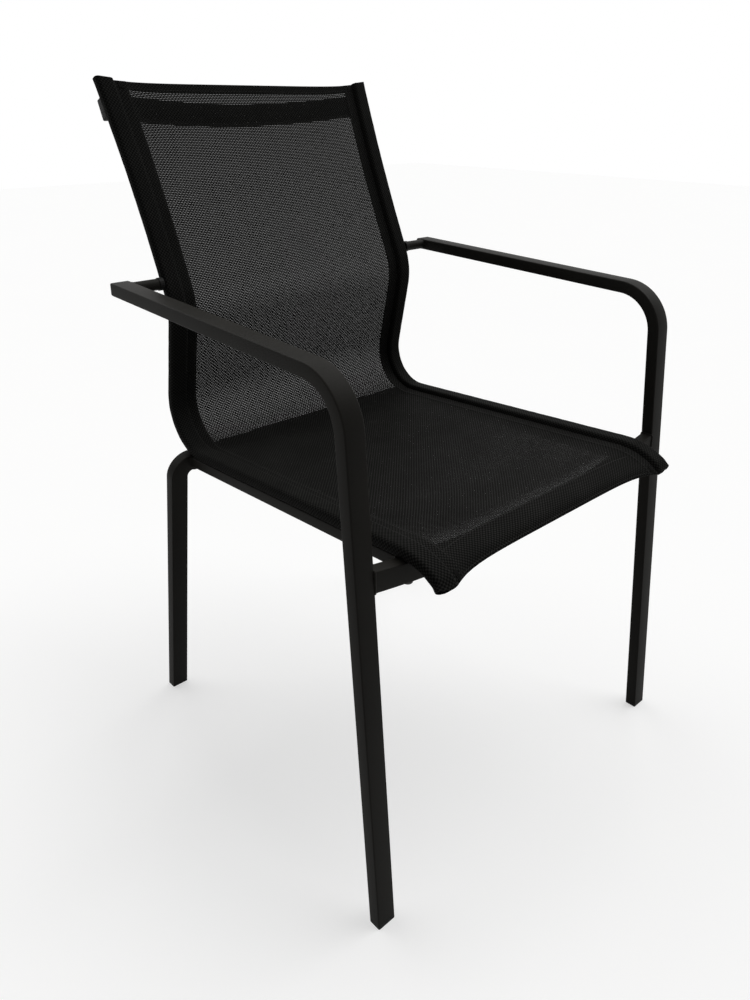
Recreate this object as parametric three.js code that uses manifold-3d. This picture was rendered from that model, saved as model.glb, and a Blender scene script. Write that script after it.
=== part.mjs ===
// A stacking sling chair for a patio: bent aluminium tubes carry one stretched sheet of coated mesh.
// X runs across the chair, the sitter faces -Y, and Z is up from the floor. Lengths are in
// millimetres and angles in degrees.
//
// Each side has one bent tube for the front leg and the armrest. Another bent tube makes both rear
// legs and the bar between them. Two S-shaped rails sit in sleeves along the edges of the sheet, and
// bolts hold the rails to the bars. The frame is worked out from the route of the rails.

import * as THREE from "three";
import { mergeVertices } from "three/addons/utils/BufferGeometryUtils.js";
import Module from "manifold-3d";

const wasm = await Module();
wasm.setup();

// The frame tube, and what all pieces share

const overallWidth = 570;
const tubeWide = 25;
const tubeDeep = 16.5;
const tubeWall = 1.5;
const tubeCorner = 1.6;
const tubeCornerSteps = 3;
const boreCornerSteps = 1;
const clearance = 0.3;
const holeOverrun = 5;
const shortestStep = 0.5;
const bendStepAngle = 12;
const mergeDistance = 0.001;

// The route of the sling rails, from the top of the back to the front of the seat

const slingTopBack = 600.3;
const slingTopHeight = 916.5;
const backLean = 23.7;
const upperBackLength = 279;
const lumbarRadius = 85;
const lowerBackLean = 12.3;
const lowerBackLength = 101;
const seatBendRadius = 62.4;
const seatSlope = 3.3;
const seatLength = 398;
const frontBendRadius = 90;
const frontDrop = 36;
const frontTail = 8;

// The rails in their sleeves

const railInset = 66;
const railWide = 22;
const railDeep = 12.6;
const railWall = 1.4;
const railCorner = 4;
const railTopInset = 4;
const railFrontInset = 16;
const railFlare = 9;
const railFlareLength = 225;

// The sling fabric

const fabricThickness = 0.9;
const sleeveSlack = 0.3;
const sleeveCornerSteps = 2;
const sheetThickness = 1;
const hemThickness = 2.2;
const hemWidth = 16.4;
const hemRamp = 1.2;
const endHem = 12;
const backSag = 5;
const seatSag = 7;
const topBow = 6.5;
const frontBow = 11;
const bowPower = 6;
const slackFade = 160;
const mouthHeight = 8.4;
const mouthReach = 3;
const sheetColumnShares = [-0.85, -0.5, 0, 0.5, 0.85];
const slingStep = 60;
const flareSteps = 4;

// The front legs and the arms

const legLean = 3.9;
const armRise = 1.9;
const armTop = 658.8;
const legBendRadius = 57.5;
const armBeyondReturn = 7.5;
const armEndHead = 7;
const armEndRound = 5;
const armEndSteps = 4;
const returnRadius = 7.5;
const returnSides = 20;
const armSpacer = 6;
const armSpacerRadius = 8.5;

// The rear frame

const rearTilt = 9.9;
const rearFootSetback = 22.5;
const rearBarSetback = 26.5;
const rearBendRadius = 21;
const rearSeatAngle = 27.5;
const rearSpacer = 2.5;

// The bars that join the sides

const frontBarSag = 24;
const frontBarSteps = 12;
const frontSpacer = 2.2;
const topBarWide = 28;
const topBarDrop = 33;
const topBarBow = 27;
const topBarEnd = 27;
const topBarOverhang = 5;
const topBarBlend = 40;
const topBarStep = 36;
const sideTubeWide = 20;
const sideTubeDeep = 14.5;
const sideTubeGap = 0.4;

// The feet and the plugs

const footHeight = 5;
const footSpigot = 18;
const plugHead = 2;
const plugSpigot = 14;
const plugOverlap = 1;
const plugSlack = 0.5;

// The fasteners

const boltRadius = 3;
const boltHole = 3.3;
const boltHeadRadius = 6;
const boltHeadHeight = 3.8;
const boltHeadRim = 1.2;
const boltHeadSteps = 3;
const boltSides = 16;
const boltBeyondNut = 1;
const nutAcross = 9;
const nutHeight = 4;
const nutSides = 6;
const nutLift = 0.6;
const spacerRadius = 7;
const studCap = 14;
const studBlock = 18;

// Materials

const powderCoat = new THREE.MeshStandardMaterial({ color: 0x2b2a27, roughness: 0.5, metalness: 0.2 });
const fabric = new THREE.MeshStandardMaterial({ color: 0x191918, roughness: 0.85, metalness: 0 });
const plastic = new THREE.MeshStandardMaterial({ color: 0x141413, roughness: 0.6, metalness: 0 });
const blackSteel = new THREE.MeshStandardMaterial({ color: 0x2e2d2b, roughness: 0.4, metalness: 0.7 });
const zincSteel = new THREE.MeshStandardMaterial({ color: 0x8c8c88, roughness: 0.4, metalness: 0.9 });

// Geometry helpers

const { degToRad, radToDeg, clamp, lerp, smoothstep } = THREE.MathUtils;
const acrossChair = new THREE.Vector3(1, 0, 0);
const upwards = new THREE.Vector3(0, 0, 1);

// The signed volume of a mesh, which is below zero when its faces point inwards.
function signedVolume(position) {
  const corners = [new THREE.Vector3(), new THREE.Vector3(), new THREE.Vector3()];
  let volume = 0;
  for (let i = 0; i < position.count; i += 3) {
    corners.forEach((corner, k) => corner.fromBufferAttribute(position, i + k));
    volume += corners[0].dot(corners[1].cross(corners[2])) / 6;
  }
  return volume;
}

// A copy of a closed mesh with flat faces that all point out.
function facesOut(geometry) {
  const flat = geometry.index ? geometry.toNonIndexed() : geometry;
  const position = flat.getAttribute("position");
  if (signedVolume(position) < 0) {
    const second = new THREE.Vector3();
    const third = new THREE.Vector3();
    for (let i = 0; i < position.count; i += 3) {
      second.fromBufferAttribute(position, i + 1);
      third.fromBufferAttribute(position, i + 2);
      position.setXYZ(i + 1, third.x, third.y, third.z);
      position.setXYZ(i + 2, second.x, second.y, second.z);
    }
  }
  flat.computeVertexNormals();
  return flat;
}

function toSolid(geometry) {
  const bare = geometry.clone();
  bare.deleteAttribute("normal");
  bare.deleteAttribute("uv");
  const merged = mergeVertices(bare, mergeDistance);
  const vertProperties = merged.getAttribute("position").array;
  const triVerts = new Uint32Array(merged.index.array);
  return new wasm.Manifold(new wasm.Mesh({ numProp: 3, vertProperties, triVerts }));
}

function fromSolid(solid) {
  const mesh = solid.getMesh();
  const geometry = new THREE.BufferGeometry();
  geometry.setAttribute("position", new THREE.BufferAttribute(mesh.vertProperties, 3));
  geometry.setIndex(new THREE.BufferAttribute(mesh.triVerts, 1));
  return facesOut(geometry);
}

function cut(geometry, tools) {
  let solid = toSolid(geometry);
  for (const tool of tools) solid = solid.subtract(toSolid(tool));
  return fromSolid(solid);
}

function join(first, second) {
  return fromSolid(toSolid(first).add(toSolid(second)));
}

function evenly(from, to, steps) {
  return Array.from({ length: steps + 1 }, (_, i) => lerp(from, to, i / steps));
}

// The points of a circle or, with few sides, of a regular polygon.
function circlePoints(radius, sides) {
  return Array.from({ length: sides }, (_, i) => {
    const angle = (2 * Math.PI * i) / sides;
    return new THREE.Vector2(radius * Math.cos(angle), radius * Math.sin(angle));
  });
}

// The points of a rectangle with round corners, anticlockwise from its right side.
function roundedPoints(width, height, radius, cornerSteps) {
  const points = [];
  for (let corner = 0; corner < 4; corner++) {
    const right = corner === 0 || corner === 3 ? 1 : -1;
    const upper = corner < 2 ? 1 : -1;
    for (let step = 0; step <= cornerSteps; step++) {
      const angle = ((corner + step / cornerSteps) * Math.PI) / 2;
      const x = right * (width / 2 - radius) + radius * Math.cos(angle);
      const y = upper * (height / 2 - radius) + radius * Math.sin(angle);
      points.push(new THREE.Vector2(x, y));
    }
  }
  return points;
}

function sectionWithHole(outer, hole) {
  const section = new THREE.Shape(outer);
  section.holes.push(new THREE.Path(hole));
  return section;
}

// The section of a rectangular tube with its bore.
function tubeSection(width, height, wall, corner, cornerSteps) {
  const outer = roundedPoints(width, height, corner, cornerSteps);
  const bore = roundedPoints(width - 2 * wall, height - 2 * wall, corner - wall / 2, boreCornerSteps);
  return sectionWithHole(outer, bore);
}

function frameTubeSection() {
  return tubeSection(tubeWide, tubeDeep, tubeWall, tubeCorner, tubeCornerSteps);
}

// The section of a plug's spigot in a tube of that size.
function spigotSection(width, height, wall, corner) {
  const shrink = 2 * (wall + plugSlack);
  return new THREE.Shape(roundedPoints(width - shrink, height - shrink, corner - wall / 2, boreCornerSteps));
}

// A frame is a middle point, the two axes of the section there, u and v, and the way along the piece.
function pointIn(frame, u, v) {
  return frame.middle.clone().addScaledVector(frame.u, u).addScaledVector(frame.v, v);
}

// An extrusion of a section whose points move to where place(distance, u, v) puts them.
function sweep(section, distances, place) {
  const steps = distances.length - 1;
  const geometry = new THREE.ExtrudeGeometry(section, { steps, depth: steps, bevelEnabled: false });
  const position = geometry.getAttribute("position");
  for (let i = 0; i < position.count; i++) {
    const station = Math.round(position.getZ(i));
    const point = place(distances[station], position.getX(i), position.getY(i));
    position.setXYZ(i, point.x, point.y, point.z);
  }
  return facesOut(geometry);
}

// A sweep that keeps its section along a run of frames.
function sweepAlong(section, distances, frames) {
  return sweep(section, distances, (distance, u, v) => pointIn(frames(distance), u, v));
}

// Slides a point along a direction until it reaches a plane.
function slideToPlane(point, direction, planePoint, normal) {
  const run = planePoint.clone().sub(point).dot(normal) / direction.dot(normal);
  return point.clone().addScaledVector(direction, run);
}

// A flat route of straights {length} and bends {radius, turn}, measured by the distance along it.
class Route {
  constructor(a, b, heading, moves) {
    this.pieces = [];
    let state = { a, b, angle: degToRad(heading) };
    let distance = 0;
    for (const move of moves) {
      const turn = degToRad(move.turn ?? 0);
      const length = move.length ?? move.radius * Math.abs(turn);
      this.pieces.push({ ...state, distance, length, turn });
      distance += length;
      state = this.at(distance);
    }
    this.length = distance;
  }

  // The place and direction at a distance, going straight on past either end.
  at(distance) {
    const piece = this.pieces.findLast((each) => each.distance <= distance) ?? this.pieces[0];
    const run = clamp(distance - piece.distance, 0, piece.length);
    const past = distance - piece.distance - run;
    const curvature = piece.turn / piece.length;
    const angle = piece.angle + curvature * run;
    let a = piece.a + past * Math.cos(angle);
    let b = piece.b + past * Math.sin(angle);
    if (curvature === 0) {
      a += run * Math.cos(angle);
      b += run * Math.sin(angle);
    } else {
      a += (Math.sin(angle) - Math.sin(piece.angle)) / curvature;
      b -= (Math.cos(angle) - Math.cos(piece.angle)) / curvature;
    }
    return { a, b, angle };
  }

  // Distances from one place to another, with the bends split finely and no step over `longest`.
  stations(from, to, longest = Infinity, extra = []) {
    const marks = [...extra];
    for (const piece of this.pieces) {
      const bendSteps = Math.ceil(radToDeg(Math.abs(piece.turn)) / bendStepAngle);
      const steps = Math.max(bendSteps, Math.ceil(piece.length / longest), 1);
      marks.push(...evenly(piece.distance, piece.distance + piece.length, steps));
    }
    const inside = marks.filter((mark) => mark > from + shortestStep && mark < to - shortestStep);
    const sorted = [from, ...inside.sort((p, q) => p - q), to];
    return sorted.filter((mark, i) => i === 0 || mark - sorted[i - 1] > shortestStep);
  }
}

// The direction a quarter turn to the left of a route's heading, in the route's own plane.
function leftOf(angle) {
  return { a: -Math.sin(angle), b: Math.cos(angle) };
}

// A round rod or hole along an axis, from one distance to another.
function rod(origin, axis, from, to, radius) {
  const geometry = new THREE.CylinderGeometry(radius, radius, to - from, boltSides);
  const middle = origin.clone().addScaledVector(axis, (from + to) / 2);
  geometry.applyQuaternion(new THREE.Quaternion().setFromUnitVectors(new THREE.Vector3(0, 1, 0), axis));
  geometry.translate(middle.x, middle.y, middle.z);
  return facesOut(geometry);
}

// The frames along a straight axis in the plane of Y and Z.
function axisFrames(origin, axis) {
  const u = acrossChair;
  const v = axis.clone().cross(u);
  return (distance) => ({ middle: origin.clone().addScaledVector(axis, distance), u, v, along: axis });
}

// The widths: the rails and the rear frame keep their places from the middle lines of the front legs

const sideX = (overallWidth - tubeWide) / 2;
const legInner = sideX - tubeWide / 2 - clearance;
const railSpread = sideX - railInset;
const rearFootWidth = 2 * (sideX - rearFootSetback);
const rearBarWidth = 2 * (sideX - rearBarSetback);

// The route of the sling rails in the plane of Y and Z

const slingRoute = new Route(slingTopBack, slingTopHeight, -90 - backLean, [
  { length: upperBackLength },
  { radius: lumbarRadius, turn: backLean + lowerBackLean },
  { length: lowerBackLength },
  { radius: seatBendRadius, turn: -(90 + lowerBackLean + seatSlope) },
  { length: seatLength },
  { radius: frontBendRadius, turn: seatSlope + frontDrop },
  { length: frontTail },
]);
const [, , , seatBend, seatRun, frontBend] = slingRoute.pieces;

// How far the rails stand out from their straight line near the top of the back.
function flareAt(distance) {
  const share = clamp(1 - distance / railFlareLength, 0, 1);
  return railFlare * share * share;
}

// The side of the route that faces the sitter.
function sitterSide(angle) {
  const left = leftOf(angle);
  return new THREE.Vector3(0, -left.a, -left.b);
}

// A point at a distance along the route, so far across the chair and so far to the sitter's side.
function onRoute(distance, across, offset) {
  const spot = slingRoute.at(distance);
  return new THREE.Vector3(across, spot.a, spot.b).addScaledVector(sitterSide(spot.angle), offset);
}

function railAcross(distance) {
  return railSpread + flareAt(distance);
}

function railFrames(side) {
  return (distance) => {
    const spot = slingRoute.at(distance);
    return {
      middle: onRoute(distance, side * railAcross(distance), 0),
      u: acrossChair,
      v: sitterSide(spot.angle),
      along: new THREE.Vector3(0, Math.cos(spot.angle), Math.sin(spot.angle)),
    };
  };
}

// The sleeves, and the places along the rails

const sleeveWall = sleeveSlack + fabricThickness;
const sleeveHalfWide = railWide / 2 + sleeveWall;
const sleeveHalfDeep = railDeep / 2 + sleeveWall;
const sleeveInner = railSpread - sleeveHalfWide;
const wallToBore = sleeveWall + railWall;
const railStart = railTopInset;
const railEnd = slingRoute.length - railFrontInset;
const pinchStart = railEnd + plugHead + 2 * clearance;
const frontBoltAt = frontBend.distance + frontBendRadius * degToRad(seatSlope);
const rearBoltAt = seatRun.distance - seatBendRadius * degToRad(rearSeatAngle);
const slingMarks = [
  ...evenly(0, railFlareLength, flareSteps),
  railStart,
  endHem,
  endHem + hemRamp,
  slingRoute.length - endHem - hemRamp,
  slingRoute.length - endHem,
  railEnd,
  pinchStart,
];
const slingStations = slingRoute.stations(0, slingRoute.length, slingStep, slingMarks);

// The front bar: one shallow arc that dips under the seat, cut off square at the legs

const frontBarRadius = (legInner ** 2 + frontBarSag ** 2) / (2 * frontBarSag);
const frontBarAngle = radToDeg(Math.asin(legInner / frontBarRadius));
const frontRest = onRoute(frontBoltAt, railSpread, -sleeveHalfDeep);
const frontBarDepth = frontRest.y;

// The height of the arc that lies `inwards` of the bar's middle line, above that line's ends.
function frontBarRise(across, inwards) {
  const reach = frontBarRadius - inwards;
  return frontBarRadius - frontBarSag - Math.sqrt(reach ** 2 - across ** 2);
}

const frontBarTop = frontRest.z - frontSpacer - 2 * clearance;
const frontBarEnds = frontBarTop - frontBarRise(railSpread, tubeWide / 2);
const frontBarRoute = new Route(-legInner, frontBarEnds, -frontBarAngle, [
  { radius: frontBarRadius, turn: 2 * frontBarAngle },
]);

function frontBarFrames(distance) {
  const spot = frontBarRoute.at(distance);
  const left = leftOf(spot.angle);
  return {
    middle: new THREE.Vector3(spot.a, frontBarDepth, spot.b),
    u: new THREE.Vector3(0, 1, 0),
    v: new THREE.Vector3(left.a, 0, left.b),
    along: new THREE.Vector3(Math.cos(spot.angle), 0, Math.sin(spot.angle)),
  };
}

// The front legs and the arms: the leg's middle line passes through the end of the front bar

const legTan = Math.tan(degToRad(legLean));
const armTan = Math.tan(degToRad(armRise));
const armCosine = Math.cos(degToRad(armRise));
const legBase = frontBarDepth - legTan * frontBarEnds;
const armLine = armTop - tubeDeep / 2 / armCosine;
const legCorner = (armLine + armTan * legBase) / (1 - armTan * legTan);
const legBend = 90 - legLean - armRise;
const legBendReach = legBendRadius * Math.tan(degToRad(legBend) / 2);

// The place on the rails, found by halving, where the arm's line meets them.
function findArmPlace() {
  let above = 0;
  let below = seatBend.distance;
  while (below - above > mergeDistance) {
    const middle = (above + below) / 2;
    const spot = slingRoute.at(middle);
    if (spot.b > armLine + armTan * spot.a) above = middle;
    else below = middle;
  }
  return above;
}

const armPlace = findArmPlace();
const armBack = slingRoute.at(armPlace).a;
const legStraight = (legCorner - footHeight) / Math.cos(degToRad(legLean)) - legBendReach;
const armStraight = (armBack - legBase - legTan * legCorner) / armCosine - legBendReach;
const legRoute = new Route(legBase + legTan * footHeight, footHeight, 90 - legLean, [
  { length: legStraight },
  { radius: legBendRadius, turn: -legBend },
  { length: armStraight + armBeyondReturn },
]);

function legFrames(side) {
  return (distance) => {
    const spot = legRoute.at(distance);
    const left = leftOf(spot.angle);
    return {
      middle: new THREE.Vector3(side * sideX, spot.a, spot.b),
      u: new THREE.Vector3(side, 0, 0),
      v: new THREE.Vector3(0, left.a, left.b),
      along: new THREE.Vector3(0, Math.cos(spot.angle), Math.sin(spot.angle)),
    };
  };
}

// The round bar from an arm in to the sleeve's spacer, with its distances measured from the chair's
// middle
const spacerInner = railAcross(armPlace - armSpacerRadius) + sleeveHalfWide + clearance;
const returnInner = spacerInner + armSpacer + clearance;

function returnFrames(side) {
  const arm = legFrames(side)(legRoute.length - armBeyondReturn);
  return (across) => ({
    middle: new THREE.Vector3(side * across, arm.middle.y, arm.middle.z),
    u: arm.along,
    v: arm.v,
    along: arm.u,
  });
}

// The rear frame, drawn flat about its bar and then tilted: the bar lies under the rails where the
// seat bends up

const rearUp = new THREE.Vector3(0, -Math.sin(degToRad(rearTilt)), Math.cos(degToRad(rearTilt)));
const rearOut = new THREE.Vector3(0, Math.cos(degToRad(rearTilt)), Math.sin(degToRad(rearTilt)));
const rearRest = onRoute(rearBoltAt, 0, -sleeveHalfDeep);
const rearDrop = rearSpacer + 2 * clearance + tubeWide / 2;
const rearBarMiddle = rearRest.clone().addScaledVector(rearUp, -rearDrop);
const rearBarUp = rearBarMiddle.z / rearUp.z;
const rearSplay = radToDeg(Math.atan((rearFootWidth - rearBarWidth) / 2 / rearBarUp));
const rearTurn = 90 - rearSplay;
const rearBendReach = rearBendRadius * Math.tan(degToRad(rearTurn) / 2);
const rearFootUp = footHeight / rearUp.z;
const rearLegStraight = (rearBarUp - rearFootUp) / Math.cos(degToRad(rearSplay)) - rearBendReach;
const rearFootInset = rearFootUp * Math.tan(degToRad(rearSplay));
const rearFootStart = rearFootInset - (rearFootWidth - tubeWide) / 2;
const rearRoute = new Route(rearFootStart, rearFootUp - rearBarUp, 90 - rearSplay, [
  { length: rearLegStraight },
  { radius: rearBendRadius, turn: -rearTurn },
  { length: rearBarWidth - tubeWide - 2 * rearBendReach },
  { radius: rearBendRadius, turn: -rearTurn },
  { length: rearLegStraight },
]);

function rearFrames(distance) {
  const spot = rearRoute.at(distance);
  const left = leftOf(spot.angle);
  const tilted = (across, up) => new THREE.Vector3(across, 0, 0).addScaledVector(rearUp, up);
  return {
    middle: tilted(spot.a, spot.b).add(rearBarMiddle),
    u: tilted(left.a, left.b),
    v: rearOut,
    along: tilted(Math.cos(spot.angle), Math.sin(spot.angle)),
  };
}

// The top bar behind the rails: it bows backwards, clear of the sheet

const topBarCentre = onRoute(topBarDrop, 0, -sleeveHalfDeep - clearance - tubeDeep / 2);
const backNormal = sitterSide(slingRoute.at(topBarDrop).angle);
const backUp = backNormal.clone().cross(acrossChair);
const topBoltX = railAcross(topBarDrop);
const topBarHalf = topBoltX + topBarOverhang;
const topBarBowHalf = topBarHalf - topBarEnd;
const topBarAngle = radToDeg(2 * Math.atan(topBarBow / topBarBowHalf));
const topBarRadius = topBarBowHalf / Math.sin(degToRad(topBarAngle)) - topBarBlend;
const topBarRoute = new Route(-topBarHalf, 0, 0, [
  { length: topBarEnd },
  { radius: topBarBlend, turn: -topBarAngle },
  { radius: topBarRadius, turn: 2 * topBarAngle },
  { radius: topBarBlend, turn: -topBarAngle },
  { length: topBarEnd },
]);

function topBarFrames(distance) {
  const spot = topBarRoute.at(distance);
  const left = leftOf(spot.angle);
  const level = (across, forward) => new THREE.Vector3(across, 0, 0).addScaledVector(backNormal, forward);
  return {
    middle: level(spot.a, spot.b).add(topBarCentre),
    u: backUp,
    v: level(left.a, left.b),
    along: level(Math.cos(spot.angle), Math.sin(spot.angle)),
  };
}

// Fasteners

// A button-head bolt whose head seats at distance 0 of its axis.
function boltShape(frames, length) {
  const profile = [
    new THREE.Vector2(0, length),
    new THREE.Vector2(boltRadius, length),
    new THREE.Vector2(boltRadius, 0),
    new THREE.Vector2(boltHeadRadius, 0),
  ];
  for (const angle of evenly(0, Math.PI / 2, boltHeadSteps)) {
    const depth = boltHeadRim + (boltHeadHeight - boltHeadRim) * Math.sin(angle);
    profile.push(new THREE.Vector2(boltHeadRadius * Math.cos(angle), -depth));
  }
  profile[profile.length - 1].x = 0;
  const geometry = new THREE.LatheGeometry(profile, boltSides);
  const seat = frames(0);
  geometry.applyQuaternion(new THREE.Quaternion().setFromUnitVectors(new THREE.Vector3(0, 1, 0), seat.along));
  geometry.translate(seat.middle.x, seat.middle.y, seat.middle.z);
  return facesOut(geometry);
}

function nutShape(frames, from) {
  const corner = nutAcross / 2 / Math.cos(Math.PI / nutSides);
  const section = sectionWithHole(circlePoints(corner, nutSides), circlePoints(boltHole, boltSides));
  return sweepAlong(section, [from, from + nutHeight], frames);
}

// A bolt with its nut and its hole. The axis points into the rail, whose wall ends at `inside` from
// the head's seat and leans by `tilt`.
function boltSet(seat, axis, inside, tilt) {
  const frames = axisFrames(seat, axis);
  const nutFrom = inside + nutLift + (nutAcross / 2) * Math.sin(tilt);
  const length = nutFrom + nutHeight + boltBeyondNut;
  return {
    bolt: () => boltShape(frames, length),
    nut: () => nutShape(frames, nutFrom),
    hole: rod(seat, axis, -holeOverrun, length, boltHole),
  };
}

function frontBolt(side) {
  const underBar = frontBarEnds + frontBarRise(railSpread - boltHeadRadius, -tubeWide / 2);
  const seat = new THREE.Vector3(side * railSpread, frontBarDepth, underBar - clearance);
  return boltSet(seat, upwards, frontRest.z - seat.z + wallToBore, 0);
}

function rearBolt(side) {
  const drop = rearDrop + tubeWide / 2 + clearance;
  const seat = rearRest.clone().addScaledVector(rearUp, -drop).setX(side * railSpread);
  const tilt = rearUp.angleTo(sitterSide(slingRoute.at(rearBoltAt).angle));
  return boltSet(seat, rearUp, drop + wallToBore / Math.cos(tilt), tilt);
}

function topBolt(side) {
  const drop = tubeDeep + 2 * clearance;
  const seat = onRoute(topBarDrop, side * topBoltX, -sleeveHalfDeep - drop);
  return boltSet(seat, backNormal, drop + wallToBore, 0);
}

// The stud that holds an arm to its rail: it stands on a cap in the end of the arm's return bar and
// screws into a block inside the rail.
function armStud(side) {
  const frames = returnFrames(side);
  const { middle: origin, along: axis } = frames(0);
  const capSection = new THREE.Shape(circlePoints(returnRadius - tubeWall - plugSlack, returnSides));
  const cap = () => sweepAlong(capSection, [returnInner, returnInner + studCap], frames);
  const blockSection = spigotSection(railWide, railDeep, railWall, railCorner);
  const blockEnds = [armPlace - studBlock / 2, armPlace + studBlock / 2];
  const inRail = railAcross(armPlace);
  const hole = rod(origin, axis, inRail - clearance, spacerInner, boltHole);
  return {
    stud: () => join(cap(), rod(origin, axis, inRail, returnInner + studCap / 2, boltRadius)),
    block: () => cut(sweepAlong(blockSection, blockEnds, railFrames(side)), [hole]),
    hole,
  };
}

// The ring round a stud, between the sleeve and the return bar.
function armSpacerRing(side) {
  const hole = circlePoints(boltHole, boltSides);
  const section = sectionWithHole(circlePoints(armSpacerRadius, returnSides), hole);
  return sweepAlong(section, [spacerInner, spacerInner + armSpacer], returnFrames(side));
}

function railHoles(side) {
  return [frontBolt(side).hole, rearBolt(side).hole, topBolt(side).hole, armStud(side).hole];
}

// The spacers between the bars and the sleeves

const sleeveUnderside = slingStations.map((distance) => onRoute(distance, 0, -sleeveHalfDeep));

// Slides a point along an axis in the plane of Y and Z to where it first meets a sleeve's underside.
function slideToSleeve(point, axis) {
  let nearest = Infinity;
  for (let i = 1; i < sleeveUnderside.length; i++) {
    const start = sleeveUnderside[i - 1];
    const edge = sleeveUnderside[i].clone().sub(start);
    const normal = edge.clone().cross(acrossChair);
    const run = start.clone().sub(point).dot(normal) / axis.dot(normal);
    const hit = point.clone().addScaledVector(axis, run).setX(0);
    const share = hit.sub(start).dot(edge) / edge.lengthSq();
    if (run > 0 && share >= 0 && share <= 1) nearest = Math.min(nearest, run);
  }
  return point.clone().addScaledVector(axis, nearest - clearance);
}

// A ring round a bolt, with one face on the bar and one that follows the sleeve.
function spacerRing(origin, axis, onBar) {
  const section = sectionWithHole(circlePoints(spacerRadius, boltSides), circlePoints(boltHole, boltSides));
  const frame = axisFrames(origin, axis)(0);
  return sweep(section, [0, 1], (end, u, v) => {
    const foot = onBar(pointIn(frame, u, v));
    return end === 0 ? foot : slideToSleeve(foot, axis);
  });
}

function frontSpacerRing(side) {
  const origin = frontRest.clone().setX(side * railSpread);
  return spacerRing(origin, upwards, (point) => {
    return point.setZ(frontBarEnds + frontBarRise(point.x, tubeWide / 2) + clearance);
  });
}

function rearSpacerRing(side) {
  const origin = rearBarMiddle.clone().addScaledVector(rearUp, tubeWide / 2 + clearance);
  return spacerRing(origin.setX(side * railSpread), rearUp, (point) => point);
}

// Tubes

// One tube from the foot up the front leg and back along the arm.
function frontLegArm(side) {
  return sweepAlong(frameTubeSection(), legRoute.stations(0, legRoute.length), legFrames(side));
}

function armReturn(side) {
  const bore = circlePoints(returnRadius - tubeWall, returnSides);
  const section = sectionWithHole(circlePoints(returnRadius, returnSides), bore);
  return sweepAlong(section, [returnInner, legInner], returnFrames(side));
}

function rearLegFrame() {
  const tube = sweepAlong(frameTubeSection(), rearRoute.stations(0, rearRoute.length), rearFrames);
  return cut(tube, [rearBolt(-1).hole, rearBolt(1).hole]);
}

function frontCrossbar() {
  const section = tubeSection(tubeDeep, tubeWide, tubeWall, tubeCorner, tubeCornerSteps);
  const stations = frontBarRoute.stations(0, frontBarRoute.length, (2 * legInner) / frontBarSteps);
  const tube = sweep(section, stations, (distance, u, v) => {
    const frame = frontBarFrames(distance);
    const point = pointIn(frame, u, v);
    if (distance > 0 && distance < frontBarRoute.length) return point;
    const end = new THREE.Vector3(distance > 0 ? legInner : -legInner, 0, 0);
    return slideToPlane(point, frame.along, end, acrossChair);
  });
  return cut(tube, [frontBolt(-1).hole, frontBolt(1).hole]);
}

function topCrossbar() {
  const section = tubeSection(topBarWide, tubeDeep, tubeWall, tubeCorner, tubeCornerSteps);
  const stations = topBarRoute.stations(0, topBarRoute.length, topBarStep);
  const tube = sweepAlong(section, stations, topBarFrames);
  return cut(tube, [topBolt(-1).hole, topBolt(1).hole]);
}

// The straight tube under a sleeve, from the rear bar's face to the front bar's face.
function sideTube(side) {
  const along = railFrames(side)(seatRun.distance).along;
  const offset = sleeveHalfDeep + sideTubeGap + sideTubeDeep / 2;
  const middle = onRoute(seatRun.distance, side * railSpread, -offset);
  const frame = { middle, u: acrossChair, v: sitterSide(seatRun.angle), along };
  const rearFace = rearBarMiddle.clone().addScaledVector(rearOut, -tubeDeep / 2 - clearance);
  const frontFace = new THREE.Vector3(0, frontBarDepth + tubeDeep / 2 + clearance, 0);
  const section = tubeSection(sideTubeWide, sideTubeDeep, tubeWall, tubeCorner, tubeCornerSteps);
  return sweep(section, [0, 1], (end, u, v) => {
    const point = pointIn(frame, u, v);
    if (end === 0) return slideToPlane(point, along, rearFace, rearOut);
    return slideToPlane(point, along, frontFace, new THREE.Vector3(0, 1, 0));
  });
}

function slingRail(side) {
  const section = tubeSection(railWide, railDeep, railWall, railCorner, boreCornerSteps);
  const inside = slingStations.filter((distance) => distance > railStart && distance < railEnd);
  const tube = sweepAlong(section, [railStart, ...inside, railEnd], railFrames(side));
  return cut(tube, railHoles(side));
}

// The sling: a tensioned sheet between two sleeves, hemmed at the top and at the front

function shifted(points, x) {
  return points.map((point) => new THREE.Vector2(point.x + x, point.y));
}

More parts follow.
